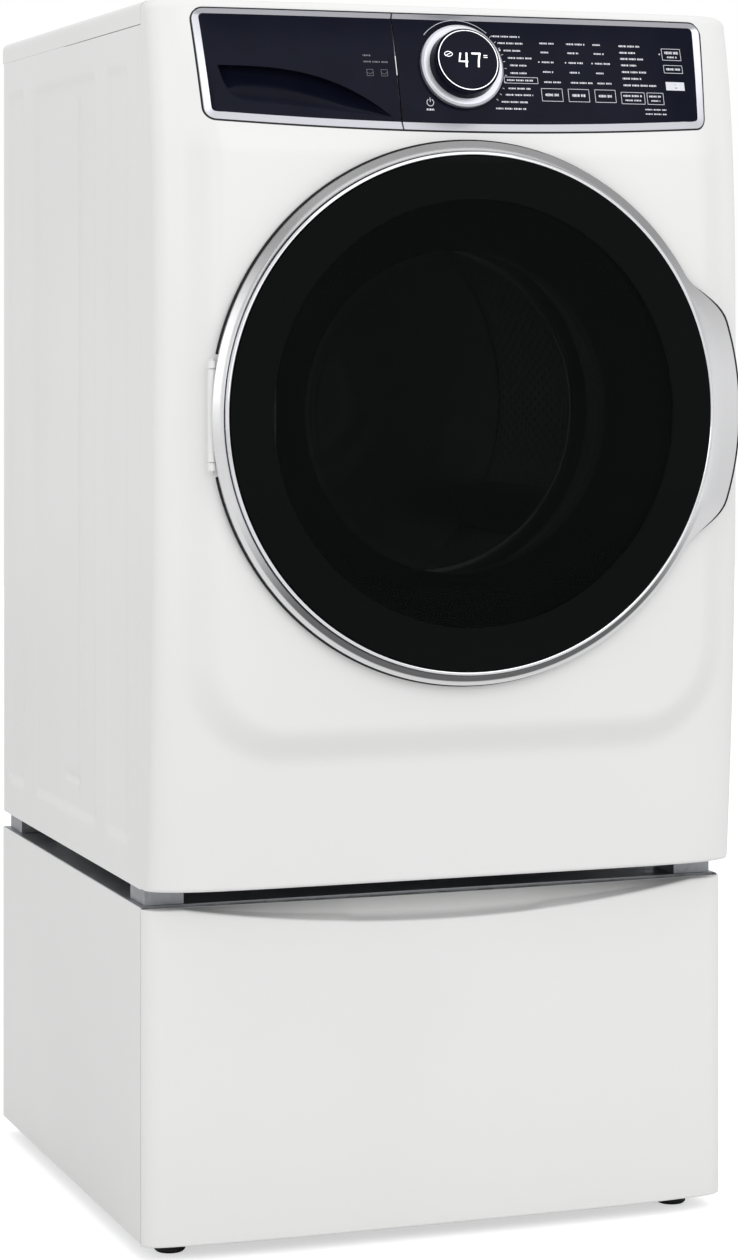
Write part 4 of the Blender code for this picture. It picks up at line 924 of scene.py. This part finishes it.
def console_marks():
    """Dashes, frames and dots where the console's captions, keys and lamps are."""
    height = 0.16 - FACE_DEPTH
    marks = []

    def line(x0, x1, z, tall=1.9):
        marks.extend(caption(x0, x1, z, tall, on_front, height))

    def key(x0, x1, z0, z1):
        marks.extend(frame_strokes(x0, x1, z0, z1, 0.5, on_front, height))

    def dot(x, z, radius=0.9):
        marks.append(stroke(ring_path((x, z), radius / 2, 0, 350, 10), radius, on_front, height))

    for x0, x1, z in ((44, 77, 1327.5), (50, 80, 1320), (56, 77, 1311.7), (60, 89, 1303.5),
                      (61.6, 82, 1295.2), (61, 81, 1286.5), (56.7, 83, 1269.2), (52.6, 85, 1262),
                      (47, 79, 1254), (39.6, 76, 1246.5), (56, 89, 1278.5)):
        line(x0, x1, z)
    key(52.7, 92.5, 1275.2, 1281.9)
    for x0, widths in ((100, (17, 10, 14, 12, 22)), (132, (22, 14, 18, 12, 26)), (164, (9, 12, 18, 10, 17))):
        for z, width in zip((1321, 1310.8, 1299.7, 1288.7, 1277.3), widths):
            line(x0, x0 + width, z)
        dot(x0 - 3.5, 1299.7)
        key(x0 - 4.4, x0 + 20.4, 1256, 1270)
        line(x0, x0 + 16.5, 1263, 3.0)
    for z, stop in zip((1320.5, 1313, 1306, 1298.7, 1291, 1283.6, 1276), (221, 217, 224, 214, 226, 219, 236)):
        line(195.5, stop, z, 2.1)
    for x0, x1 in ((191.3, 219.7), (223, 243.1)):
        key(x0, x1, 1255, 1268)
        line(x0 + 2.5, x1 - 2.5, 1264, 2.2)
        line(x0 + 4.5, x1 - 4.5, 1259, 1.8)
    key(248, 271.4, 1306, 1319)
    line(251.5, 268.5, 1314.5, 3.2)
    line(254, 266, 1309.5, 2.0)
    dot(244.8, 1312.5)
    key(248, 271.4, 1291.3, 1300.1)
    line(251, 268.5, 1295.7, 2.6)
    marks.append(stroke([(248, 1276.3), (271.4, 1276.3)], 9.5, on_front, height))
    marks.append(stroke(ring_path((-37, 1251.5), 3.9, 120, 420, 30), 0.7, on_front, height))
    marks.append(stroke([(-37, 1252), (-37, 1257)], 0.8, on_front, height))
    line(-42, -32, 1243.6, 2.2)
    for x0, x1, z in ((-110, -99, 1302), (-110, -82, 1295)):
        line(x0, x1, z, 1.8)
    for angle in np.linspace(-42, 42, 11):
        a = math.radians(angle)
        ends = [(DIAL_X + r * math.cos(a), DIAL_Z + r * math.sin(a)) for r in (51.5, 54.0)]
        marks.append(stroke(ends, 0.5, on_front, height))
    marks.append(stroke(ring_path((DIAL_X, DIAL_Z), 52.6, 48, 138, 60), 0.5, on_front, height))
    dot(51.5, 1312.0, 1.2)
    return marks


def faint_marks():
    """The dimmer dashes, the outline symbols beside the drawer and the teal underline."""
    height = 0.16 - FACE_DEPTH
    marks = caption(219, 245, 1249, 1.5, on_front, height) + caption(219, 245, 1244, 1.5, on_front, height)
    marks.append(stroke([(248.8, 1276.3), (270.6, 1276.3)], 3.0, on_front, height + 0.12))
    for x in (-103.5, -87.0):
        marks += frame_strokes(x - 3.6, x + 3.6, 1279.5, 1286.5, 0.4, on_front, height)
        marks.append(stroke([(x - 3.6, 1283), (x, 1281.6), (x + 3.6, 1283.4)], 0.4, on_front, height))
    return marks


def dial_rim():
    """The dial's silver ring: a bevelled section spun about the dial's axis."""
    corners = [(39.0, -0.6), (DIAL_R, -0.6), (DIAL_R, 4.4), (DIAL_R - 2.4, 6.6), (39.0, 6.6)]
    section = filleted(corners, (0.2, 0.3, 1.2, 1.2, 0.2), 5)
    made = built("dial_rim", [dial_spun(section)], finish("silver"))
    return finished(made, "dial", "silver_trim", "cycle_dial")


def dial_collar():
    """The dial's dark collar: a tapered section spun about the dial's axis, standing round the lens."""
    bore = LENS_R + 0.6
    corners = [(30.5, -6), (39.2, -6), (39.2, 6.2), (37.4, 20.2), (bore, 20.2), (bore, 7.5), (30.5, 7.5)]
    section = filleted(corners, (0.2, 0.2, 0.6, 0.8, 0.5, 0.5, 0.2), 5)
    made = built("dial_collar", [dial_spun(section)], finish("navy"))
    return finished(made, "dial", "navy_gloss", "cycle_dial")


def display():
    """The fixed lens: a flat disc with a raised, rounded edge."""
    corners = [(0, 8.4), (LENS_R, 8.4), (LENS_R, 21.0), (LENS_R - 1.4, 22.0), (LENS_R - 3, LENS_FACE),
               (0, LENS_FACE)]
    section = filleted(corners, (0.1, 0.3, 0.8, 0.8, 0.8, 0.1), 5)
    section[:, 0] = np.maximum(section[:, 0], 0)
    made = built("display", [dial_spun(section)], finish("navy"))
    return finished(made, "cabinet", "navy_gloss", "display_lens")


def display_rim():
    """The bright line round the lens: a small rounded section, spun."""
    corners = [(LENS_R - 1.5, 21.6), (LENS_R - 0.1, 21.6), (LENS_R - 0.3, 22.3), (LENS_R - 1.4, 22.35)]
    made = built("display_rim", [dial_spun(filleted(corners, 0.3, 4))], finish("chrome"))
    return finished(made, "cabinet", "silver_trim")


def readout():
    """Two generic numerals, an outlined leaf and a small dash on the lens, as ribbons in its plane."""
    height = LENS_FACE + 0.45
    four = [[(-8.4, 8.0), (-10.6, -1.9), (-0.4, -1.9)], [(-1.2, 8.4), (-2.8, -8.4)]]
    seven = [[(4.6, 7.6), (14.6, 7.6)], [(14.4, 8.4), (12.2, -0.4), (11.4, -8.2)]]
    marks = [stroke(path, 2.0, on_dial, height) for path in four + seven]
    t = np.linspace(0, 2 * math.pi, 40)
    leaf = np.stack([-22.4 + 4.6 * np.cos(t) * np.abs(np.cos(t)) ** 0.4, 6.4 + 2.9 * np.sin(t)], axis=1)
    marks.append(stroke(leaf, 0.7, on_dial, height))
    marks.append(stroke([(-26.5, 4.2), (-18.6, 8.4)], 0.6, on_dial, height))
    marks.append(stroke([(18.4, 3.4), (22.8, 3.4)], 0.9, on_dial, height))
    marks.append(stroke([(18.4, 5.6), (22.8, 5.6)], 0.9, on_dial, height))
    return marks


# ---------------------------------------------------------------- the door


def wing(angle):
    """1 across the handle on the right of the door, and 0 beyond its ends, by angle in radians."""
    away = np.degrees(np.abs((angle + math.pi) % (2 * math.pi) - math.pi))
    return smoothstep((WING_HALF_ANGLE - away) / 13.0)


def around_door(radius, y, angle):
    """A closed body whose radius and y may both change with the angle round the door's axis."""
    return sheet(stacked(radius * np.cos(angle), y, AXIS_Z + radius * np.sin(angle)), around=True, along=True)


def door_ring():
    """The silver ring: a bevelled section whose outer radius grows by the wing's reach to make the handle."""
    angle = np.linspace(0, 2 * math.pi, 360, endpoint=False)[None, :]
    reach = wing(angle)
    outline = filleted([(0.0, -103.8), (0.0, -113.0), (1.0, -107.0), (1.0, -101.0)], (0.2, 0.8, 1.6, 0.5), 6)
    across, y = outline.T[:, :, None]
    outer = RING_R + (WING_REACH - 3.2) * reach
    radius = RING_INNER_R + (outer - RING_INNER_R) * across
    swell = 1.1 * np.sin(math.pi * np.clip(across, 0, 1)) * reach
    near_hinge = smoothstep((13.5 - np.degrees(np.abs(angle - math.pi))) / 1.5)
    back = (y > -104.5) * across
    y = y - back * 1.7 * near_hinge - swell * (y < -105)
    ring = built("door_silver_ring", [around_door(radius, y, angle)], finish("ring"))
    return finished(ring, "door", "silver_trim", "door_outer_ring")


def door_glass():
    """A shallow dome of even thickness: y falls with the square of the radius."""
    r = np.sqrt(np.linspace(1, 0, 40)) * GLASS_R
    y = GLASS_EDGE_Y - GLASS_RISE * (1 - (r / GLASS_R) ** 2)
    front, back = np.stack([r, y], axis=1), np.stack([r, y + 3.5], axis=1)[::-1]
    pane = turned(np.concatenate([front, back]), (0, AXIS_Z), segments=256)
    window = built("door_window", [pane], finish("window"))
    return finished(window, "door", "dark_glass", "door_outer_glass", sharp=60)


def door_bright_ring():
    """The plated ring round the glass: a narrow rounded profile, turned."""
    corners = [(278.4, -104.3), (278.4, -117.2), (280.5, -118.6), (282.7, -116.6), (282.7, -104.3)]
    profile = filleted(corners, (0.2, 0.7, 1.2, 0.7, 0.2), 5)
    ring = built("door_bright_ring", [turned(profile, (0, AXIS_Z), segments=256)], finish("chrome"))
    return finished(ring, "door", "chrome_trim", "door_chrome_ring")


def door_back():
    """The door's black back: a turned section, notched for the hinge, whose flange edges the handle too."""
    corners = [(232, -100.6), (BUMPER_R - 1, -100.6), (BUMPER_R, -99.4), (BUMPER_R - 0.8, -97.7),
               (286, -97.5), (283, -70), (262, -59.5), (240, -59.5), (236, -62.0), (204, -62.0),
               (200, -59.5), (177, -59.5), (177, -63)]
    profile = filleted(corners, (0.3, 0.4, 0.6, 0.4, 2, 5, 5, 1, 1, 1, 1, 1, 1), 5)
    angle = np.linspace(0, 2 * math.pi, 300, endpoint=False)[None, :]
    radius, y = profile.T[:, :, None]
    flange = np.maximum(radius - FLANGE_R, 0) * (y < -97)
    radius = radius + flange * wing(angle) * (WING_REACH + 0.9) / (BUMPER_R - FLANGE_R)
    ring = built("door_back", [around_door(radius, y + 0 * angle, angle)], finish("black"))
    notch = block((-312, -101.2, AXIS_Z - 66), (-217, -50, AXIS_Z + 66), 2.0, axis=1)
    return finished(carved(ring, notch), "door", "black_plastic", "door_inner_frame")


def door_bowl():
    """The clear bowl: an outer profile, out and back to the axis, and an inner one, turned."""
    outer = [(230, -99.2), (176, -64.6), (168, -58), (158, -20), (140, 25), (105, 52), (40, 61.2), (0, 62)]
    inner = [(0, 56), (40, 55.2), (102, 46.5), (135, 21), (152, -22), (163, -62), (170, -68), (226, -103.2)]
    bends = (0.5, 6, 6, 30, 40, 60, 60, 0.1)
    profile = filleted(outer + inner, bends + bends[::-1], 8)
    profile[:, 0] = np.maximum(profile[:, 0], 0)
    bowl = built("door_bowl", [turned(profile, (0, AXIS_Z), segments=192)], finish("bowl"))
    return finished(bowl, "door", "clear_glass", "door_glass_bowl", sharp=70)


# ---------------------------------------------------------------- gasket and drum


def boot():
    """The folded rubber boot: an even wall round a rounded zigzag path, spun about the drum's axis."""
    folds = [(178, -38), (187, -49), (200, -54), (203, -44), (213, -32), (211, -20), (192, -9), (205, 5),
             (205.8, 26)]
    path = filleted(folds, (1, 6, 4, 5, 6, 6, 5, 7, 1), 8, closed=False)
    made = built("door_boot", [turned(thickened(path, 3.0), (0, AXIS_Z), segments=224)], finish("rubber"))
    return finished(made, "tub", "grey_rubber", "door_gasket", sharp=60)


def drum_wall():
    """The drum: a rolled mouth, a slanted front and a straight wall, of even thickness."""
    wall_r = DRUM_R - SHEET / 2
    bends = [(182, 58), (180, 51), (186, 50), (232, 56), (258, 64), (wall_r, 78), (wall_r, DRUM_REAR_Y - 1)]
    path = filleted(bends, (1, 4, 4, 20, 12, 12, 1), 8, closed=False)
    made = built("drum_wall", [turned(thickened(path, SHEET), (0, AXIS_Z), segments=256)], finish("drum"))
    return finished(made, "drum", "stainless_steel", "drum_shell", sharp=60)


def drum_back():
    """The plate at the back of the drum: rings pressed by a cosine of the radius, flat at centre and edge."""
    r = np.linspace(0, DRUM_R - 4, 150)
    ridge = 0.9 * (1 - np.cos(2 * math.pi * r / 44.0)) / 2 * plateau(r, 60, 240, 20)
    front = np.stack([r, DRUM_REAR_Y - 3.4 - ridge], axis=1)
    back = np.stack([r, np.full_like(r, DRUM_REAR_Y - 0.4)], axis=1)[::-1]
    plate = turned(np.concatenate([front, back]), (0, AXIS_Z), segments=192)
    made = built("drum_back", [plate], finish("steel_round"))
    return finished(made, "drum", "stainless_steel")


def vane(number, degrees):
    """A lifting vane: a rounded hump across, carried along the drum, its height eased in at both ends."""
    flank = [(0, 34), (12, 22), (34, 13), (56, 6)]
    section = flank + [(60, 0)] + [(high, -side) for high, side in flank[::-1]] + [(-3, 0)]
    section = filleted(section, (1, 12, 20, 5, 8, 5, 20, 12, 1, 30), 5)
    y = np.linspace(97, DRUM_REAR_Y - 7, 60)
    t = (y - y[0]) / (y[-1] - y[0])
    ease = (0.35 + 0.65 * np.sin(math.pi * np.clip(t, 0.02, 0.98)) ** 0.35)[:, None]
    high, side = section.T[:, None, :]
    radius = DRUM_R - 4.5 - high * ease
    side = side * (0.7 + 0.3 * ease) + 5.0 * np.sin(2 * math.pi * t)[:, None] * np.clip(high / 60, 0, 1)
    a = math.radians(degrees)
    radius = radius - side ** 2 / 600 * (1 - np.clip(high / 12, 0, 1))
    grid = stacked(radius * math.cos(a) - side * math.sin(a), y[:, None],
                   AXIS_Z + radius * math.sin(a) + side * math.cos(a))
    made = built("vane_%d" % number, [capped(grid)], finish("grey"))
    return finished(made, "drum", "grey_plastic", "drum_baffle_%d" % number, sharp=60)


# ---------------------------------------------------------------- the pedestal


def drawer_face():
    """The bowed drawer front as sections in y and z carried across x.

    Its top edge dips by a parabola of x and slopes back up to a rail, hollowed a little at the middle."""
    x = HALF_WIDTH * np.sin(np.linspace(-math.pi / 2, math.pi / 2, 181)) * 0.9995
    bow = -28 + 13 * np.abs(x / HALF_WIDTH) ** 4 + 5 * np.maximum(0, (np.abs(x) - 325) / 18) ** 2
    end = np.sqrt(np.clip(1 - (np.abs(x) / HALF_WIDTH) ** 60, 0, 1))
    front = -1.5 + (bow + 1.5) * end
    dip = 26 * np.clip(1 - (x / 300) ** 2, 0, 1)
    edge = DRAWER_HIGH_Z - dip
    pocket = 1 - smoothstep((np.abs(x) - 100) / 24)
    low_rail = DRAWER_HIGH_Z - 0.05 * dip
    outline = [(-0.9, DRAWER_LOW_Z), (front, DRAWER_LOW_Z), (front, edge),
               (0.5 * front, edge + 0.3 * dip - 3 * pocket), (-1.6, low_rail - 1.2), (-0.9, low_rail - 0.4)]
    corners = np.stack([stacked(x, y, z)[..., 1:] for y, z in outline], axis=1)
    radii = (0.4, 2.5, 4.5, 14.0, 1.0, 0.3)
    sections = np.stack([filleted(section, radii, 6) for section in corners])
    grid = np.concatenate([np.repeat(x[:, None, None], sections.shape[1], axis=1), sections], axis=2)
    made = built("drawer_face", [capped(grid)], finish("enamel"))
    return finished(made, "storage_drawer", "white_enamel", "drawer_front", sharp=50)


def foot(number):
    """A levelling foot: a tapered black pad, a lock nut and a stem whose radius ripples like a thread."""
    centre = middle("levelling_foot_%d" % number)[:2]
    corners = [(0, 0), (15, 0), (17.4, 2.6), (12, 17.6), (6, 18.2), (0, 18.2)]
    pad_profile = filleted(corners, (0.1, 1.5, 1.5, 2, 1, 0.1), 5)
    height = np.linspace(18, 36.8, 160)
    thread = np.stack([5.6 + 0.35 * np.sin(2 * math.pi * height / 1.5), height], axis=1)
    stem = np.concatenate([[(0, 18)], thread, [(0, 36.8)]])
    nut = turned([(6.2, 18.4), (9.6, 18.4), (9.6, 19.0), (6.2, 19.0)], centre, "Z", 6)
    shapes = [turned(pad_profile, centre, "Z", 48, loop=False), turned(stem, centre, "Z", 32, loop=False)]
    finishes = [finish("black"), finish("steel"), finish("steel")]
    made = built("foot_%d_pad" % number, shapes + [nut], finishes)
    return finished(made, "foot_%d" % number, "black_plastic", "levelling_foot_%d" % number)


# ---------------------------------------------------------------- what a user can change


class WasherColours(bpy.types.PropertyGroup):
    enamel: bpy.props.FloatVectorProperty(
        name="Enamel", description="Colour of the cabinet and the drawer front", default=(0.79, 0.79, 0.785),
        size=3, min=0.0, max=1.0, subtype="COLOR")
    silver: bpy.props.FloatVectorProperty(
        name="Silver", description="Colour of the console's surround and dial", default=(0.62, 0.62, 0.67),
        size=3, min=0.0, max=1.0, subtype="COLOR")
    ring: bpy.props.FloatVectorProperty(
        name="Ring", description="Colour of the door's metal ring and handle", default=(0.68, 0.68, 0.69),
        size=3, min=0.0, max=1.0, subtype="COLOR")
    navy: bpy.props.FloatVectorProperty(
        name="Console", description="Colour of the console's dark face", default=(0.0052, 0.0062, 0.0145),
        size=3, min=0.0, max=1.0, subtype="COLOR")
    window: bpy.props.FloatVectorProperty(
        name="Window", description="Tint of the door's outer glass", default=(0.0035, 0.0045, 0.0042),
        size=3, min=0.0, max=1.0, subtype="COLOR")
    rubber: bpy.props.FloatVectorProperty(
        name="Boot", description="Colour of the rubber boot behind the door", default=(0.2, 0.2, 0.21),
        size=3, min=0.0, max=1.0, subtype="COLOR")
    ink: bpy.props.FloatVectorProperty(
        name="Ink", description="Colour of the console's printed marks", default=(0.62, 0.63, 0.68),
        size=3, min=0.0, max=1.0, subtype="COLOR")


class WasherDetails(bpy.types.PropertyGroup):
    side_relief: bpy.props.FloatProperty(
        name="Side relief", description="Depth of the fields pressed into the sides, in millimetres",
        default=3.2, min=0.0, max=6.0)
    grip_depth: bpy.props.FloatProperty(
        name="Grip depth", description="Depth of the detergent drawer's finger grip, in millimetres",
        default=13.0, min=0.0, max=20.0)
    hole_pitch: bpy.props.FloatProperty(
        name="Hole pitch", description="Distance between the holes in the drum, in millimetres",
        default=13.0, min=6.0, max=40.0)
    hole_size: bpy.props.FloatProperty(
        name="Hole size", description="Diameter of the holes in the drum, in millimetres",
        default=4.5, min=1.0, max=10.0)


class WasherStage(bpy.types.PropertyGroup):
    focal_length: bpy.props.FloatProperty(
        name="Focal length", description="The camera's focal length in millimetres",
        default=96.64, min=20.0, max=300.0, unit="CAMERA")
    key_power: bpy.props.FloatProperty(
        name="Key light", description="Power of the large light in front",
        default=34.0, min=0.0, unit="POWER")
    surround: bpy.props.FloatProperty(
        name="Surround", description="Brightness of the studio walls",
        default=0.86, min=0.0, max=5.0, subtype="FACTOR")


# The CAD nodes that stay in view, by finish.
KEPT = {
    "enamel": ("rear_panel", "rear_access_cover", "pedestal_shell",
               "hinge_bracket", "hinge_pin", "door_hinge_arm"),
    "zinc": ("base_frame", "pedestal_top", "pedestal_base", "slide_rail_left", "slide_rail_right",
             "drawer_bin"),
    "steel": ("door_latch_hook", "main_bearing", "heater",
              "suspension_spring_left", "suspension_spring_right", "damper_rod_left", "damper_rod_right",
              "motor_pulley"),
    "steel_round": ("drum_spider",),
    "black": ("door_lock", "power_inlet", "drain_pump", "damper_body_left", "damper_body_right", "drive_belt",
              "dispenser_housing"),
    "grey": ("inlet_valve", "dispenser_tray", "drive_motor", "drum_pulley"),
    "iron": ("counterweight",),
    "tub": ("tub_front", "tub_rear"),
}


class WASHER_OT_finishes(bpy.types.Operator):
    """Makes every material and puts the right one on each CAD node that is kept"""

    bl_idname = "washer.finishes"
    bl_label = "Finishes"

    def execute(self, context):
        colours, details = context.scene.washer_colours, context.scene.washer_details
        FINISHES.update(
            enamel=enamel(tuple(colours.enamel)),
            silver=silver_paint(tuple(colours.silver)),
            ring=ring_silver(tuple(colours.ring)),
            chrome=chrome(),
            window=window_glass(tuple(colours.window)),
            bowl=bowl_glass(),
            navy=navy_gloss(tuple(colours.navy)),
            # Painted shade: a darker copy of the console's gloss for the grip's sunk faces.
            deep_navy=navy_gloss(shade(tuple(colours.navy), 0.75)[:3]),
            steel=brushed_steel("stainless_steel", 0),
            steel_round=brushed_steel("plate_steel", 1),
            drum=drum_steel(details.hole_pitch, details.hole_size),
            zinc=galvanised(),
            rubber=moulded("grey_rubber", tuple(colours.rubber), 0.6, 240.0),
            black=moulded("black_plastic", (0.018, 0.018, 0.019), 0.5, 500.0, 0.2),
            grey=moulded("grey_plastic", (0.36, 0.37, 0.39), 0.45, 420.0),
            iron=cast_iron(),
            tub=moulded("tub_plastic", (0.6, 0.61, 0.6), 0.5, 130.0),
            # Painted light: the printed ink glows a little, and the faint ink less; only the readout is
            # really lit.
            ink=print_ink("console_ink", tuple(colours.ink), 0.25),
            faint=print_ink("faint_ink", shade(tuple(colours.ink), 0.3)[:3], 0.05),
            lit=print_ink("lit_ink", (0.9, 0.92, 0.95), 0.9),
        )
        for name, nodes in KEPT.items():
            for node in nodes:
                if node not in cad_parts:
                    raise RuntimeError("there is no CAD node " + node)
                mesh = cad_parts[node].data
                mesh.materials.clear()
                mesh.materials.append(finish(name))
        return {"FINISHED"}


class WASHER_OT_cabinet(bpy.types.Operator):
    """Builds the bowed front, the door's seat, the pressed sides and the lid"""

    bl_idname = "washer.cabinet"
    bl_label = "Cabinet"

    def execute(self, context):
        front_skin()
        door_seat()
        for word, side in (("left", -1), ("right", 1)):
            side_skin("side_skin_" + word, side, context.scene.washer_details.side_relief)
        lid()
        return {"FINISHED"}


class WASHER_OT_console(bpy.types.Operator):
    """Builds the two dark faces, their silver surround and the printed marks"""

    bl_idname = "washer.console"
    bl_label = "Console"

    def execute(self, context):
        fascia("console_face", 1, "cabinet", "console_fascia")
        grip_depth = context.scene.washer_details.grip_depth
        fascia("dispenser_face", -1, "dispenser_drawer", "dispenser_fascia", grip_depth)
        panel_gap()
        trim("console_surround", 1, "cabinet", "console_trim")
        trim("dispenser_surround", -1, "dispenser_drawer", "dispenser_trim")
        marks = console_marks() + faint_marks()
        own = [m for m in marks if m[0][:, 0].max() > PANEL_SPLIT_X]
        drawn = [m for m in marks if m[0][:, 0].max() <= PANEL_SPLIT_X]
        finished(built("console_marks", own, finish("ink")), "cabinet", "navy_gloss")
        finished(built("dispenser_marks", drawn, finish("faint")), "dispenser_drawer", "navy_gloss")
        return {"FINISHED"}


class WASHER_OT_dial(bpy.types.Operator):
    """Builds the turning ring and the fixed lens with its numerals"""

    bl_idname = "washer.dial"
    bl_label = "Dial"

    def execute(self, context):
        dial_rim()
        dial_collar()
        display()
        display_rim()
        finished(built("display_readout", readout(), finish("lit")), "cabinet", "navy_gloss")
        return {"FINISHED"}


class WASHER_OT_door(bpy.types.Operator):
    """Builds the door: silver ring with its handle, bright ring, dark glass, black back and clear bowl"""

    bl_idname = "washer.door"
    bl_label = "Door"

    def execute(self, context):
        door_ring()
        door_bright_ring()
        door_glass()
        door_back()
        door_bowl()
        return {"FINISHED"}


class WASHER_OT_drum(bpy.types.Operator):
    """Builds the rubber boot, the perforated drum, its back and its three vanes"""

    bl_idname = "washer.drum"
    bl_label = "Drum and boot"

    def execute(self, context):
        boot()
        drum_wall()
        drum_back()
        for number in (1, 2, 3):
            vane(number, 120 * number - 30)
        return {"FINISHED"}


class WASHER_OT_pedestal(bpy.types.Operator):
    """Builds the storage drawer's front and the four levelling feet"""

    bl_idname = "washer.pedestal"
    bl_label = "Pedestal"

    def execute(self, context):
        drawer_face()
        for number in (1, 2, 3, 4):
            foot(number)
        return {"FINISHED"}


class WASHER_OT_stage(bpy.types.Operator):
    """Sets up the pale floor, the white surround, the soft lights and the camera"""

    bl_idname = "washer.stage"
    bl_label = "Stage"

    def execute(self, context):
        settings = context.scene.washer_stage
        stage_floor()
        stage_world(settings.surround)
        stage_lights(settings.key_power)
        stage_camera(settings.focal_length)
        context.scene.view_settings.view_transform = "Standard"
        return {"FINISHED"}


def stage_floor():
    """A wide pale floor that shines a little, but only where the camera sees it straight on."""
    half = 9000.0
    grid = stacked(np.linspace(-half, half, 3)[None, :], np.linspace(-half, half, 3)[:, None], -0.6)
    paint = Paint("studio_floor", (0.8, 0.8, 0.8), 0.8, specular=0.1)
    tone = paint.noise(0.8, 2.0)
    paint.set("Base Color", paint.mix(tone, (0.79, 0.79, 0.79, 1.0), (0.81, 0.81, 0.81, 1.0)))
    seen = paint.node("LightPath", output="Is Camera Ray")
    paint.set("Emission Color", paint.mix(seen, (0.0, 0.0, 0.0, 1.0), (0.56, 0.56, 0.56, 1.0)))
    paint.set("Emission Strength", 1.0)
    floor = built("studio_floor", [sheet(grid)], paint.material, recalculate=False)


def stage_world(strength):
    """White to the camera, and an even white of the given strength to everything else."""
    world = bpy.data.worlds.new("studio")
    world.use_nodes = True
    bpy.context.scene.world = world
    tree = world.node_tree
    tree.nodes.clear()
    output = tree.nodes.new("ShaderNodeOutputWorld")
    chosen = tree.nodes.new("ShaderNodeMixShader")
    path = tree.nodes.new("ShaderNodeLightPath")
    plain = tree.nodes.new("ShaderNodeBackground")
    soft = tree.nodes.new("ShaderNodeBackground")
    plain.inputs["Color"].default_value = (1.0, 1.0, 1.0, 1.0)
    soft.inputs["Color"].default_value = (1.0, 1.0, 1.0, 1.0)
    soft.inputs["Strength"].default_value = strength
    tree.links.new(path.outputs["Is Camera Ray"], chosen.inputs[0])
    tree.links.new(soft.outputs[0], chosen.inputs[1])
    tree.links.new(plain.outputs[0], chosen.inputs[2])
    tree.links.new(chosen.outputs[0], output.inputs[0])


def area_light(name, location, target, size, power):
    """A rectangular light at location, turned to face target."""
    data = bpy.data.lights.new(name, "AREA")
    data.shape = "RECTANGLE"
    data.size, data.size_y = size
    data.energy = power
    light = bpy.data.objects.new(name, data)
    bpy.context.scene.collection.objects.link(light)
    light.location = location
    direction = np.asarray(target) - np.asarray(location)
    yaw = math.atan2(direction[1], direction[0]) - math.pi / 2
    pitch = math.atan2(direction[2], math.hypot(direction[0], direction[1]))
    light.rotation_euler = (math.pi / 2 + pitch, 0.0, yaw)


def stage_lights(power):
    """One large light in front, a weaker one at the left and one above."""
    area_light("key", (0.6, -3.6, 2.8), (0.0, 0.0, 0.8), (3.0, 2.4), power)
    area_light("side", (-2.6, -2.8, 2.0), (-0.2, 0.0, 0.8), (1.2, 2.0), power * 0.3)
    area_light("overhead", (0.0, 0.2, 3.6), (0.0, 0.0, 0.6), (3.0, 3.0), power * 0.3)


def stage_camera(focal_length):
    """A level camera to the left of the front, shifted down so that upright edges stay upright."""
    data = bpy.data.cameras.new("camera")
    data.lens = focal_length
    data.sensor_width = 36.0
    data.shift_y = -0.2484
    data.clip_end = 60.0
    camera = bpy.data.objects.new("camera", data)
    bpy.context.scene.collection.objects.link(camera)
    camera.location = (-1.34396, -3.77313, 1.01809)
    camera.rotation_euler = (math.pi / 2, 0.0, math.radians(-19.77))
    bpy.context.scene.camera = camera


OPERATORS = (WASHER_OT_finishes, WASHER_OT_cabinet, WASHER_OT_console, WASHER_OT_dial,
             WASHER_OT_door, WASHER_OT_drum, WASHER_OT_pedestal, WASHER_OT_stage)


class WASHER_PT_panel(bpy.types.Panel):
    """Lists the settings and the operators in the sidebar"""

    bl_idname = "WASHER_PT_panel"
    bl_label = "Washer"
    bl_space_type = "VIEW_3D"
    bl_region_type = "UI"
    bl_category = "Washer"

    def draw(self, context):
        for group in (context.scene.washer_colours, context.scene.washer_details, context.scene.washer_stage):
            box = self.layout.box()
            for name in group.__annotations__:
                box.prop(group, name)
        for operator in OPERATORS:
            self.layout.operator(operator.bl_idname)


GROUPS = {"washer_colours": WasherColours, "washer_details": WasherDetails, "washer_stage": WasherStage}


def register():
    for cls in (*GROUPS.values(), *OPERATORS, WASHER_PT_panel):
        bpy.utils.register_class(cls)
    for name, group in GROUPS.items():
        setattr(bpy.types.Scene, name, bpy.props.PointerProperty(type=group))


def unregister():
    for name in GROUPS:
        delattr(bpy.types.Scene, name)
    for cls in (WASHER_PT_panel, *reversed(OPERATORS), *reversed(tuple(GROUPS.values()))):
        bpy.utils.unregister_class(cls)


def plain(bounds):
    """The bounds as plain lists of numbers."""
    return [[float(value) for value in corner] for corner in bounds]


def main():
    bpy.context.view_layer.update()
    register()
    steps = bpy.ops.washer
    for operator in (steps.finishes, steps.cabinet, steps.console, steps.dial, steps.door, steps.drum,
                     steps.pedestal, steps.stage):
        if operator() != {"FINISHED"}:
            raise RuntimeError("an operator didn't finish")


if __name__ == "__main__":
    main()
